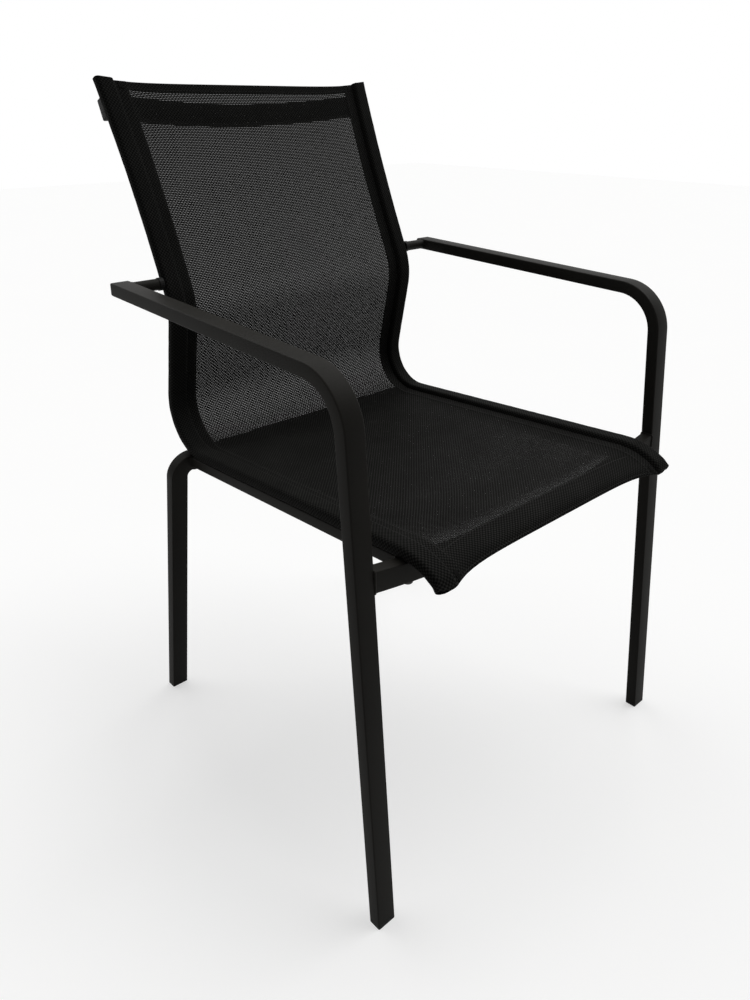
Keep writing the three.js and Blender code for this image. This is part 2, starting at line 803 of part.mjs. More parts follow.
// The outline goes along the sheet's underside, round the right sleeve, back along the top of the
// sheet and round the left sleeve. The sheet is double in the hems beside the sleeves.
function slingSection() {
  const sheet = sheetThickness / 2;
  const hem = hemThickness / 2;
  const hemStart = sleeveInner - hemWidth;
  const sleeveCorner = railCorner + sleeveWall;
  const sleeve = roundedPoints(2 * sleeveHalfWide, 2 * sleeveHalfDeep, sleeveCorner, sleeveCornerSteps);
  const fromInside = [...sleeve.slice(sleeve.length / 2), ...sleeve.slice(0, sleeve.length / 2)];
  const beside = (side, face) => [
    new THREE.Vector2(side * sleeveInner, face * hem),
    new THREE.Vector2(side * (hemStart + hemRamp), face * hem),
    new THREE.Vector2(side * hemStart, face * sheet),
  ];
  const columns = (face) => {
    return sheetColumnShares.map((share) => new THREE.Vector2(share * hemStart, face * sheet));
  };
  const section = new THREE.Shape([
    ...beside(-1, -1),
    ...columns(-1),
    ...beside(1, -1).reverse(),
    ...shifted(fromInside, railSpread),
    ...beside(1, 1),
    ...columns(1).reverse(),
    ...beside(-1, 1).reverse(),
    ...shifted(sleeve, -railSpread),
  ]);
  const boreWide = railWide + 2 * sleeveSlack;
  const boreDeep = railDeep + 2 * sleeveSlack;
  const bore = roundedPoints(boreWide, boreDeep, railCorner, boreCornerSteps);
  for (const side of [-1, 1]) section.holes.push(new THREE.Path(shifted(bore, side * railSpread)));
  return section;
}

// How far the middle of the sheet hangs behind the line between the rails.
function sagAt(distance) {
  const settled = smoothstep(distance, 0, slackFade) * smoothstep(slingRoute.length - distance, 0, slackFade);
  return settled * lerp(backSag, seatSag, smoothstep(distance, seatBend.distance, seatRun.distance));
}

// How far the middle of the sheet is drawn in from the top edge, and with a minus from the front edge.
function bowAt(distance) {
  const top = 1 - smoothstep(distance, 0, slackFade);
  const front = 1 - smoothstep(slingRoute.length - distance, 0, slackFade);
  return topBow * top - frontBow * front;
}

// The sheet's thickness against its plain thickness: the hems at both ends are double.
function thickenAt(distance) {
  const fromEnd = Math.min(distance, slingRoute.length - distance);
  return lerp(hemThickness / sheetThickness, 1, clamp((fromEnd - endHem) / hemRamp, 0, 1));
}

// Past the rail's front end the sleeve flattens and spreads outwards: 0 at the rail, 1 at the mouth.
function mouthAt(distance) {
  return clamp((distance - pinchStart) / (slingRoute.length - pinchStart), 0, 1);
}

function slingPoint(distance, u, v) {
  const share = Math.min(Math.abs(u) / sleeveInner, 1);
  const across = u + Math.sign(u) * flareAt(distance) * share;
  if (Math.abs(u) > sleeveInner - mergeDistance) {
    const mouth = mouthAt(distance);
    const outward = Math.max(0, (Math.abs(u) - railSpread) / sleeveHalfWide);
    const deep = lerp(1, mouthHeight / 2 / sleeveHalfDeep, mouth);
    return onRoute(distance, across + Math.sign(u) * mouthReach * mouth * outward, v * deep);
  }
  const drawn = bowAt(distance) * (1 - share ** bowPower);
  const hung = sagAt(distance) * (1 - share ** 2);
  const thicken = Math.abs(v) < hemThickness / 2 ? thickenAt(distance) : 1;
  return onRoute(distance + drawn, across, v * thicken - hung);
}

function sling() {
  const sheet = sweep(slingSection(), slingStations, slingPoint);
  return cut(sheet, [...railHoles(-1), ...railHoles(1)]);
}

// Plugs

const flatHeadMarks = [clearance, clearance + plugHead];
const armEndMarks = evenly(0, Math.PI / 2, armEndSteps).map(
  (angle) => clearance + armEndHead * Math.sin(angle),
);

// A plug with its head against a tube's end and its spigot in the bore. Outward is -1 at the start
// of the tube's route and 1 at its end. The head has a section at each mark past the end, and
// headPlace can move its points.
function endPlug(frames, end, outward, head, inner, spigot, headPlace, marks = flatHeadMarks) {
  const place = (distance, u, v) => pointIn(frames(distance), u, v);
  const cap = sweep(head, marks.map((mark) => end + outward * mark), headPlace ?? place);
  const root = end + outward * (clearance + plugOverlap);
  return join(cap, sweep(inner, [root, end, end - outward * spigot], place));
}

// The plug under a leg: its head fills the height to the floor and is cut level there.
function footPlug(frames, end, outward) {
  const near = end + outward * clearance;
  const head = new THREE.Shape(roundedPoints(tubeWide, tubeDeep, tubeCorner, tubeCornerSteps));
  const inner = spigotSection(tubeWide, tubeDeep, tubeWall, tubeCorner);
  return endPlug(frames, end, outward, head, inner, footSpigot, (distance, u, v) => {
    const frame = frames(distance);
    const point = pointIn(frame, u, v);
    return distance === near ? point : slideToPlane(point, frame.along, new THREE.Vector3(), upwards);
  });
}

// The plug in an arm's rear end: its head is rounded off on all four sides.
function armEndPlug(side) {
  const frames = legFrames(side);
  const head = new THREE.Shape(roundedPoints(tubeWide, tubeDeep, tubeCorner, tubeCornerSteps));
  const inner = spigotSection(tubeWide, tubeDeep, tubeWall, tubeCorner);
  const headPlace = (distance, u, v) => {
    const past = (distance - legRoute.length - clearance) / armEndHead;
    const less = 2 * armEndRound * (1 - Math.sqrt(clamp(1 - past ** 2, 0, 1)));
    return pointIn(frames(distance), u * (1 - less / tubeWide), v * (1 - less / tubeDeep));
  };
  return endPlug(frames, legRoute.length, 1, head, inner, plugSpigot, headPlace, armEndMarks);
}

function railPlug(side, end, outward) {
  const head = new THREE.Shape(roundedPoints(railWide, railDeep, railCorner, boreCornerSteps));
  const inner = spigotSection(railWide, railDeep, railWall, railCorner);
  return endPlug(railFrames(side), end, outward, head, inner, plugSpigot);
}

// The top bar's bolts also hold its plugs.
function topBarPlug(side) {
  const end = side < 0 ? 0 : topBarRoute.length;
  const head = new THREE.Shape(roundedPoints(topBarWide, tubeDeep, tubeCorner, tubeCornerSteps));
  const inner = spigotSection(topBarWide, tubeDeep, tubeWall, tubeCorner);
  return cut(endPlug(topBarFrames, end, side, head, inner, plugSpigot), [topBolt(side).hole]);
}

// The chair

const chair = new THREE.Group();

function addPart(name, geometry, material) {
  const mesh = new THREE.Mesh(geometry, material);
  mesh.name = name;
  chair.add(mesh);
}

for (const [side, name] of [[-1, "left"], [1, "right"]]) {
  const rearEnd = side < 0 ? 0 : rearRoute.length;
  addPart(`front_leg_arm_${name}`, frontLegArm(side), powderCoat);
  addPart(`arm_return_${name}`, armReturn(side), powderCoat);
  addPart(`side_tube_${name}`, sideTube(side), powderCoat);
  addPart(`sling_rail_${name}`, slingRail(side), powderCoat);
  addPart(`front_foot_${name}`, footPlug(legFrames(side), 0, -1), plastic);
  addPart(`rear_foot_${name}`, footPlug(rearFrames, rearEnd, side), plastic);
  addPart(`arm_end_plug_${name}`, armEndPlug(side), plastic);
  addPart(`rail_top_plug_${name}`, railPlug(side, railStart, -1), plastic);
  addPart(`rail_front_plug_${name}`, railPlug(side, railEnd, 1), plastic);
  addPart(`top_bar_plug_${name}`, topBarPlug(side), plastic);
  addPart(`arm_spacer_${name}`, armSpacerRing(side), plastic);
  addPart(`front_spacer_${name}`, frontSpacerRing(side), plastic);
  addPart(`rear_spacer_${name}`, rearSpacerRing(side), plastic);
  addPart(`front_bolt_${name}`, frontBolt(side).bolt(), blackSteel);
  addPart(`rear_bolt_${name}`, rearBolt(side).bolt(), blackSteel);
  addPart(`top_bolt_${name}`, topBolt(side).bolt(), blackSteel);
  addPart(`arm_stud_${name}`, armStud(side).stud(), zincSteel);
  addPart(`front_nut_${name}`, frontBolt(side).nut(), zincSteel);
  addPart(`rear_nut_${name}`, rearBolt(side).nut(), zincSteel);
  addPart(`top_nut_${name}`, topBolt(side).nut(), zincSteel);
  addPart(`arm_block_${name}`, armStud(side).block(), zincSteel);
}
addPart("rear_leg_frame", rearLegFrame(), powderCoat);
addPart("front_crossbar", frontCrossbar(), powderCoat);
addPart("top_crossbar", topCrossbar(), powderCoat);
addPart("sling", sling(), fabric);

// The origin is on the floor, under the middle of the chair's outer box.
const box = new THREE.Box3().setFromObject(chair);
chair.position.y = -(box.min.y + box.max.y) / 2;

export default chair;
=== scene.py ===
"""A stacking sling armchair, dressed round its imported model.

The frame is bent aluminium tube under a fine black powder coat, and one stretched sheet of
coated mesh makes the seat and the back. Sizes in the classes are in millimetres and angles in
degrees, in the model's own frame: X across the chair, -Y the way the sitter faces, Z up from
the floor. Each mesh is turned into metres when it is made.

Places along Y are given as they were measured, from the front ends of the feet, and less
MIDDLE, the distance from there to the middle of the chair's outer box.
"""

import logging
import math
from dataclasses import dataclass
from enum import Enum
from typing import Any, Callable, Iterable, Sequence

import bmesh
import bpy
from mathutils import Matrix, Vector

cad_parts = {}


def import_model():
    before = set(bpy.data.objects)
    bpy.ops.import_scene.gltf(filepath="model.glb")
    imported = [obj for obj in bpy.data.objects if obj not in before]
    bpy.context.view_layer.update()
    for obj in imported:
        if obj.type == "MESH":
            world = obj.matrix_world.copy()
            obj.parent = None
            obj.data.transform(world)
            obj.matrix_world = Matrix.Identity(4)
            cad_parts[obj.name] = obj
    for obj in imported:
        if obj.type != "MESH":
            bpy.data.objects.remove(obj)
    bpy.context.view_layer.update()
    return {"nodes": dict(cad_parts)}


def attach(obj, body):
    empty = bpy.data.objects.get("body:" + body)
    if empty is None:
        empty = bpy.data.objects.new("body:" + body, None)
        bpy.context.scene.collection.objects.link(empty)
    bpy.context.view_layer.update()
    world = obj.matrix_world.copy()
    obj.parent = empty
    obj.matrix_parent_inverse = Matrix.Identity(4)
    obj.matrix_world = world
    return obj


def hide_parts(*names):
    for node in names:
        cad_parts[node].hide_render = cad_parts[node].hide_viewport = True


log = logging.getLogger("sling_chair")

MM = 0.001
MIDDLE = 307.228
BODY = "root"

Point2 = tuple[float, float]
Colour = tuple[float, float, float]

ACROSS, BACK, UP = Vector((1, 0, 0)), Vector((0, 1, 0)), Vector((0, 0, 1))

RAIL_SPREAD = 206.5
FRONT_BAR_DEPTH = 37.375 - MIDDLE
REAR_BAR_DEPTH = 474.823 - MIDDLE
REAR_BAR_HEIGHT = 417.657
REAR_TILT = 9.9
TOP_LEAN = 23.7


class Side(Enum):
    """The two sides of the chair, by the sign of X."""

    LEFT = -1
    RIGHT = 1

    @property
    def label(self) -> str:
        """The side's name as the nodes spell it."""
        return self.name.lower()


class Zone(Enum):
    """What a column of the sling's cross-section belongs to."""

    HEM = 0
    SLEEVE = 1
    SHEET = 2


# Shading


@dataclass(frozen=True)
class Value:
    """A number socket of a material, on which Python's operators add Math nodes."""

    recipe: "Recipe"
    socket: bpy.types.NodeSocket

    def __add__(self, other: Any) -> "Value":
        """Their sum."""
        return self.recipe.math("ADD", self, other)

    def __sub__(self, other: Any) -> "Value":
        """Their difference."""
        return self.recipe.math("SUBTRACT", self, other)

    def __rsub__(self, other: Any) -> "Value":
        """Their difference, with this value taken away."""
        return self.recipe.math("SUBTRACT", other, self)

    def __mul__(self, other: Any) -> "Value":
        """Their product."""
        return self.recipe.math("MULTIPLY", self, other)

    def __abs__(self) -> "Value":
        """The value without its sign."""
        return self.recipe.math("ABSOLUTE", self)

    __radd__ = __add__
    __rmul__ = __mul__

    def fract(self) -> "Value":
        """What the value holds past its whole number."""
        return self.recipe.math("FRACT", self)

    def sine(self) -> "Value":
        """The value's sine."""
        return self.recipe.math("SINE", self)

    def between(self, low: float, high: float) -> "Value":
        """A smooth step over the value.

        Args:
            low: where the step is 0.
            high: where it is 1.

        Returns:
            The step as a value.
        """
        values = {"Value": self, "From Min": low, "From Max": high}
        node = self.recipe.node("MapRange", {"interpolation_type": "SMOOTHSTEP"}, values)
        return Value(self.recipe, node.outputs["Result"])


class NodeTree:
    """A node tree in the making, and the one place that adds nodes to it."""

    prefix = ""

    def __init__(self, tree: bpy.types.NodeTree) -> None:
        """Starts with the tree emptied."""
        self.tree = tree
        tree.nodes.clear()

    def node(
        self,
        kind: str,
        settings: dict[str, Any] | None = None,
        values: dict[Any, Any] | None = None,
    ) -> bpy.types.Node:
        """Adds a node.

        Args:
            kind: the node's type, without the tree's prefix.
            settings: properties of the node, which are set first.
            values: sockets by name or index, each with its value or with what feeds it.

        Returns:
            The node.
        """
        made = self.tree.nodes.new(self.prefix + kind)
        for name, value in (settings or {}).items():
            setattr(made, name, value)
        for name, value in (values or {}).items():
            feed = value.socket if isinstance(value, Value) else value
            if isinstance(feed, bpy.types.NodeSocket):
                self.tree.links.new(feed, made.inputs[name])
            else:
                made.inputs[name].default_value = feed
        return made


class Recipe(NodeTree):
    """A material or a world in the making."""

    prefix = "ShaderNode"

    def __init__(self, name: str, shelf: Any = None) -> None:
        """Starts an empty one.

        Args:
            name: its name.
            shelf: the collection that it is made in, or None for the materials.
        """
        self.owner = (bpy.data.materials if shelf is None else shelf).new(name)
        self.owner.use_nodes = True
        super().__init__(self.owner.node_tree)

    def math(self, operation: str, *terms: Any) -> Value:
        """Adds a Math node.

        Args:
            operation: the node's operation.
            terms: numbers or values, in the order of its sockets.

        Returns:
            The result as a value.
        """
        made = self.node("Math", {"operation": operation}, dict(enumerate(terms)))
        return Value(self, made.outputs[0])

    def noise(self, size: float, detail: float) -> Value:
        """Smooth noise from 0 to 1 on the object's own coordinates.

        Args:
            size: the size of its patches, in millimetres.
            detail: how many finer layers it has.

        Returns:
            The noise as a value.
        """
        where = self.node("TexCoord").outputs["Object"]
        values = {"Vector": where, "Scale": 1 / (size * MM), "Detail": detail}
        return Value(self, self.node("TexNoise", {}, values).outputs["Fac"])

    def seen(self) -> Value:
        """1 for the rays that carry the picture, straight on, by a reflection or through glass.

        Returns:
            The choice as a value.
        """
        rays = self.node("LightPath").outputs
        camera, glossy, clear = (rays[f"Is {kind} Ray"] for kind in ("Camera", "Glossy", "Transmission"))
        return self.math("MAXIMUM", self.math("MAXIMUM", camera, glossy), clear)

    def blend(self, share: Any, first: Colour, second: Colour) -> bpy.types.NodeSocket:
        """A colour between two others.

        Args:
            share: 0 for the first colour and 1 for the second.
            first: one colour.
            second: the other colour.

        Returns:
            The colour socket.
        """
        factor, one, two, result = 0, 6, 7, 2
        values = {factor: share, one: (*first, 1.0), two: (*second, 1.0)}
        return self.node("Mix", {"data_type": "RGBA"}, values).outputs[result]

    def bump(self, height: Value, distance: float, strength: float = 1.0) -> bpy.types.NodeSocket:
        """The normal of a surface with this relief, `distance` millimetres deep."""
        values = {"Height": height, "Distance": distance * MM, "Strength": strength}
        return self.node("Bump", {}, values).outputs["Normal"]

    def finish(self, shader: bpy.types.NodeSocket, output: str = "OutputMaterial") -> Any:
        """Ends the material or the world.

        Args:
            shader: its surface.
            output: the type of its output node.

        Returns:
            The material or the world.
        """
        self.node(output, {}, {"Surface": shader})
        return self.owner

    def surface(self, **values: Any) -> bpy.types.Material:
        """Ends the material with a Principled shader whose sockets take these values."""
        sockets = {name.replace("_", " "): value for name, value in values.items()}
        return self.finish(self.node("BsdfPrincipled", {}, sockets).outputs[0])


@dataclass(frozen=True)
class PowderCoat:
    """Fine-grained matt powder coat on the frame's tubes."""

    colour: Colour = (0.0108, 0.0102, 0.0088)
    worn: Colour = (0.018, 0.0169, 0.0148)
    cloud_size: float = 70.0
    cloud_span: Point2 = (0.35, 0.75)
    cloud_share: float = 0.55
    grain_size: float = 0.9
    grain_span: Point2 = (0.45, 0.8)
    grain_deep: float = 0.05
    roughness: float = 0.43
    roughness_spread: float = 0.14
    gloss: float = 0.05

    def make(self) -> bpy.types.Material:
        """The coat: faint clouds in its colour, an orange-peel grain and a soft sheen.

        Returns:
            The material.
        """
        recipe = Recipe("powder_coat")
        cloud = recipe.noise(self.cloud_size, detail=4.0)
        grain = recipe.noise(self.grain_size, detail=3.0)
        share = cloud.between(*self.cloud_span) * self.cloud_share
        share += grain.between(*self.grain_span) * (1 - self.cloud_share)
        return recipe.surface(
            Base_Color=recipe.blend(share, self.colour, self.worn),
            Roughness=cloud * self.roughness_spread + self.roughness,
            Specular_IOR_Level=self.gloss,
            Normal=recipe.bump(grain, self.grain_deep),
        )


@dataclass(frozen=True)
class Grained:
    """A fine-grained finish with stains: moulded plastic, or blackened or zinc-plated steel."""

    name: str
    colour: Colour
    stained: Colour
    roughness: float
    roughness_spread: float = 0.15
    metallic: float = 0.9
    gloss: float = 0.5
    grain_size: float = 0.45
    grain_detail: float = 1.0
    grain_deep: float = 0.02
    stain_size: float = 6.0
    stain_detail: float = 4.0
    stain_span: Point2 = (0.42, 0.7)

    def make(self) -> bpy.types.Material:
        """The finish: a grain in relief, and stains in its colour and its sheen.

        Returns:
            The material.
        """
        recipe = Recipe(self.name)
        grain = recipe.noise(self.grain_size, self.grain_detail)
        stains = recipe.noise(self.stain_size, self.stain_detail).between(*self.stain_span)
        return recipe.surface(
            Base_Color=recipe.blend(stains, self.colour, self.stained),
            Metallic=self.metallic,
            Roughness=stains * self.roughness_spread + self.roughness,
            Specular_IOR_Level=self.gloss,
            Normal=recipe.bump(grain, self.grain_deep),
        )


@dataclass(frozen=True)
class Thread:
    """Polyester thread: dark grey in the seams and black in the bar tacks."""

    name: str = "seam_thread"
    colour: Colour = (0.055, 0.0542, 0.052)
    shaded: float = 0.6
    twist_size: float = 0.8
    twist_deep: float = 0.1
    roughness: float = 0.62
    gloss: float = 0.03

    def make(self) -> bpy.types.Material:
        """The thread: a twisted relief and a dull sheen.

        Returns:
            The material.
        """
        recipe = Recipe(self.name)
        twist = recipe.noise(self.twist_size, detail=1.0)
        return recipe.surface(
            Base_Color=recipe.blend(twist, self.colour, tuple(self.shaded * c for c in self.colour)),
            Roughness=self.roughness,
            Specular_IOR_Level=self.gloss,
            Normal=recipe.bump(twist, self.twist_deep),
        )


@dataclass(frozen=True)
class MeshCloth:
    """Coated mesh in a plain weave: every second crossing is a knuckle, and the rest are holes."""

    across: float = 4.62
    along: float = 4.74
    hole_wide: float = 3.6
    hole_long: float = 0.46
    hole_edge: Point2 = (0.75, 1.25)
    openness: float = 0.64
    # The dark colour is painted shade in the weave's valleys, and the lighter one is a painted highlight on
    # its raised knuckles and ribs.
    colour: Colour = (0.0032, 0.0032, 0.003)
    crown: Colour = (0.03, 0.03, 0.0282)
    knuckle_share: float = 0.8
    knuckle_span: Point2 = (0.35, 0.95)
    rib_span: Point2 = (0.1, 0.8)
    relief_deep: float = 0.3
    relief_strength: float = 0.8
    tint_size: float = 55.0
    tint_span: Point2 = (0.3, 0.75)
    tint_share: float = 0.3
    roughness: float = 0.66
    roughness_spread: float = 0.12
    gloss: float = 0.012

    def make(self) -> bpy.types.Material:
        """The mesh on the sling's own coordinates, with its holes only where it is single.

        Returns:
            The material.
        """
        recipe = Recipe("sling_mesh")
        coords = recipe.node("UVMap", {"uv_map": "weave"}).outputs["UV"]
        parts = recipe.node("SeparateXYZ", {}, {"Vector": coords}).outputs
        u = Value(recipe, parts["X"]) * (1 / (self.across * MM))
        v = Value(recipe, parts["Y"]) * (1 / (self.along * MM))
        single = recipe.node("Attribute", {"attribute_name": "single"}).outputs["Fac"]
        closed = self.clear_of_hole(u, v, 0.0) * self.clear_of_hole(u, v, 0.5)
        alpha = 1 - (1 - closed) * Value(recipe, single) * self.openness
        rib = 1 - abs((u * 2).fract() - 0.5) * 2
        relief = self.knuckles(u, v) * self.knuckle_share
        relief += rib.between(*self.rib_span) * (1 - self.knuckle_share)
        tint = recipe.noise(self.tint_size, detail=3.0).between(*self.tint_span)
        # Painted shade and highlight: the weave's colour is darker in its valleys and lighter on its raised
        # knuckles and ribs, varied by a random tint.
        shade = relief * (tint * self.tint_share + (1 - self.tint_share))
        return recipe.surface(
            Base_Color=recipe.blend(shade, self.colour, self.crown),
            Roughness=self.roughness - relief * self.roughness_spread,
            Specular_IOR_Level=self.gloss,
            Alpha=alpha,
            Normal=recipe.bump(relief, self.relief_deep, self.relief_strength),
        )

    def clear_of_hole(self, u: Value, v: Value, shift: float) -> Value:
        """1 off the holes of one set of rows and 0 in them.

        Args:
            u: the place across, in cells.
            v: the place along, in cells.
            shift: where the set's holes stand in the cell.

        Returns:
            The cover.
        """
        reach_u = ((u + (0.5 - shift)).fract() - 0.5) * (2 * self.across / self.hole_wide)
        reach_v = ((v + (0.5 - shift)).fract() - 0.5) * (2 * self.along / self.hole_long)
        return (reach_u * reach_u + reach_v * reach_v).between(*self.hole_edge)

    def knuckles(self, u: Value, v: Value) -> Value:
        """1 on top of the crossings between the holes, and 0 at the holes."""
        waves = [((place + 0.25) * (2 * math.pi)).sine() for place in (u, v)]
        return (waves[0] * waves[1] * -0.5 + 0.5).between(*self.knuckle_span)


@dataclass(frozen=True)
class Ground:
    """The pale floor: white to the camera, with the chair's soft shadow."""

    colour: Colour = (0.5, 0.5, 0.497)
    cloud: float = 1.02
    cloud_size: float = 400.0
    lift: float = 0.56

    def make(self) -> bpy.types.Material:
        """A diffuse floor that glows faintly for the camera and for reflections.

        Returns:
            The material.
        """
        recipe = Recipe("floor_paper")
        tone = recipe.noise(self.cloud_size, detail=2.0)
        colour = recipe.blend(tone, self.colour, tuple(self.cloud * c for c in self.colour))
        diffuse = recipe.node("BsdfDiffuse", {}, {"Color": colour}).outputs[0]
        values = {"Color": (1, 1, 1, 1), "Strength": recipe.seen() * self.lift}
        light = recipe.node("Emission", {}, values)
        both = recipe.node("AddShader", {}, {0: diffuse, 1: light.outputs[0]}).outputs[0]
        return recipe.finish(both)


class Finishes:
    """All the materials of the chair, made once."""

    def __init__(self) -> None:
        """Makes them."""
        self.coat = PowderCoat().make()
        self.plastic = Grained(
            "moulded_plastic",
            colour=(0.0125, 0.0125, 0.012),
            stained=(0.026, 0.0255, 0.0245),
            roughness=0.5,
            roughness_spread=0.12,
            metallic=0.0,
            gloss=0.06,
            grain_size=0.7,
            grain_detail=2.0,
            grain_deep=0.06,
            stain_size=14.0,
            stain_detail=5.0,
            stain_span=(0.5, 0.72),
        ).make()
        self.cloth = MeshCloth().make()
        self.thread = Thread().make()
        self.black_thread = Thread("tack_thread", (0.012, 0.0118, 0.0112)).make()
        self.black_steel = Grained("black_steel", (0.05, 0.049, 0.047), (0.03, 0.03, 0.03), 0.42).make()
        self.zinc = Grained("zinc_steel", (0.52, 0.52, 0.5), (0.4, 0.39, 0.36), 0.34).make()


# Geometry


@dataclass(frozen=True)
class Station:
    """A place along a piece: its middle, the two axes of its section, and the way along."""

    middle: Vector
    u: Vector
    v: Vector
    along: Vector

    def at(self, u: float, v: float) -> Vector:
        """The point at these places along the section's axes."""
        return self.middle + u * self.u + v * self.v


@dataclass(frozen=True)
class Plane:
    """Where a flat route lies: its origin, its two axes and the direction out of it."""

    origin: Vector
    a: Vector
    b: Vector
    out: Vector


class Route:
    """A flat route of straights and bends, measured by the distance along it."""

    def __init__(self, plane: Plane, start: Point2, heading: float, *moves: float | Point2) -> None:
        """Lays the route out.

        Args:
            plane: where it lies.
            start: its first point.
            heading: its first direction.
            moves: the length of each straight, and the radius and turn of each bend.
        """
        self.plane = plane
        self.pieces: list[tuple[float, float, float, float, float, float]] = []
        a, b, angle, distance = *start, math.radians(heading), 0.0
        for move in moves:
            length, turn = move if isinstance(move, tuple) else (move, 0.0)
            turn = math.radians(turn)
            if turn:
                length *= abs(turn)
            self.pieces.append((distance, length, turn, a, b, angle))
            distance += length
            a, b, angle = self.at(distance)
        self.length = distance

    def station(self, distance: float) -> Station:
        """The frame at a distance for the section of a piece that follows the route.

        Args:
            distance: how far along the route it is.

        Returns:
            The frame.
        """
        a, b, angle = self.at(distance)
        plane, sine, cosine = self.plane, math.sin(angle), math.cos(angle)
        return Station(
            plane.origin + a * plane.a + b * plane.b,
            plane.out,
            cosine * plane.b - sine * plane.a,
            cosine * plane.a + sine * plane.b,
        )

    def at(self, distance: float) -> tuple[float, float, float]:
        """The place on the route, or straight on past either end.

        Args:
            distance: how far along it is.

        Returns:
            The two coordinates, and the direction in radians.
        """
        reached = [piece for piece in self.pieces if piece[0] <= distance + 1e-9]
        start, length, turn, a, b, angle = reached[-1] if reached else self.pieces[0]
        run = min(max(distance - start, 0.0), length)
        past = distance - start - run
        bend = turn / length
        heading = angle + bend * run
        if bend == 0:
            a, b = a + run * math.cos(heading), b + run * math.sin(heading)
        else:
            a += (math.sin(heading) - math.sin(angle)) / bend
            b -= (math.cos(heading) - math.cos(angle)) / bend
        return a + past * math.cos(heading), b + past * math.sin(heading), heading

    def marks(self, longest: float, finest: float = 3.0, extra: Iterable[float] = ()) -> list[float]:
        """Distances along the route.

        Args:
            longest: the longest step on a straight.
            finest: the most that a bend turns in one step.
            extra: more distances to keep.

        Returns:
            The distances in order, at least half a millimetre apart.
        """
        beside, least = 1.5, 0.5
        found = [0.0, self.length, *extra]
        for start, length, turn, *_ in self.pieces:
            steps = max(1, math.ceil(abs(math.degrees(turn)) / finest), math.ceil(length / longest))
            found += [start + length * step / steps for step in range(steps + 1)]
            if turn:
                found += [start - beside, start + length + beside]
        kept: list[float] = []
        for mark in sorted(mark for mark in found if 0 <= mark <= self.length):
            if not kept or mark - kept[-1] > least:
                kept.append(mark)
        kept[-1] = self.length
        return kept


def rounded(width: float, height: float, radius: float, steps: int = 5) -> list[Point2]:
    """The outline of a rectangle with round corners.

    Args:
        width: its width.
        height: its height.
        radius: its corners' radius.
        steps: the number of steps round each corner.

    Returns:
        Its points, anticlockwise.
    """
    points = []
    for corner in range(4):
        right = 1 if corner in (0, 3) else -1
        upper = 1 if corner < 2 else -1
        for step in range(steps + 1):
            angle = (corner + step / steps) * math.pi / 2
            x = right * (width / 2 - radius) + radius * math.cos(angle)
            y = upper * (height / 2 - radius) + radius * math.sin(angle)
            points.append((x, y))
    return points


def add_object(name: str, data: bpy.types.ID) -> bpy.types.Object:
    """Adds an object with this data to the scene.

    Args:
        name: the object's name.
        data: its mesh, lamp or camera.

    Returns:
        The object.
    """
    made = bpy.data.objects.new(name, data)
    bpy.context.scene.collection.objects.link(made)
    return made


def circle(radius: float, steps: int = 32) -> list[Point2]:
    """The points of a circle, anticlockwise."""
    turns = (2 * math.pi * step / steps for step in range(steps))
    return [(radius * math.cos(turn), radius * math.sin(turn)) for turn in turns]


def spread(low: float, high: float, steps: int) -> list[float]:
    """Evenly spaced numbers from low to high, with both ends."""
    return [low + (high - low) * step / steps for step in range(steps + 1)]


def ring_faces(size: int, count: int) -> list[tuple[int, ...]]:
    """The faces of a closed body made of rings.

    Args:
        size: the number of points in each ring.
        count: the number of rings.

    Returns:
        The walls between the rings, and then the two ends.
    """
    last = size * (count - 1)
    faces: list[tuple[int, ...]] = [
        (row + k, row + (k + 1) % size, row + size + (k + 1) % size, row + size + k)
        for row in range(0, last, size)
        for k in range(size)
    ]
    return [*faces, tuple(range(size)), tuple(range(last, last + size))]


def cut(points: Iterable[Vector], along: Vector, through: Vector, normal: Vector) -> list[Vector]:
    """Slides points along a direction to the plane through a point."""
    return [point + along * ((through - point).dot(normal) / along.dot(normal)) for point in points]


def tilted(angle: float) -> tuple[Vector, Vector]:
    """The upward and the rearward direction, both tilted forwards by an angle."""
    turn = math.radians(angle)
    return Vector((0, -math.sin(turn), math.cos(turn))), Vector((0, math.cos(turn), math.sin(turn)))


@dataclass(frozen=True)
class Tube:
    """The flat-sided tube that the frame is bent from."""

    wide: float = 25.0
    deep: float = 16.5
    corner: float = 1.6

    def outline(self, shrink: float = 0.0, eased: float = 0.0) -> list[Point2]:
        """Its outline, made smaller by `shrink` all over, with corners rounder by `eased`."""
        return rounded(self.wide - shrink, self.deep - shrink, self.corner + eased)


@dataclass(frozen=True)
class Dome:
    """The domed head of a plug in a tube's end."""

    head: float
    rounding: float
    ease: float
    steps: int
    gap: float = 0.3
    start: float = 0.02


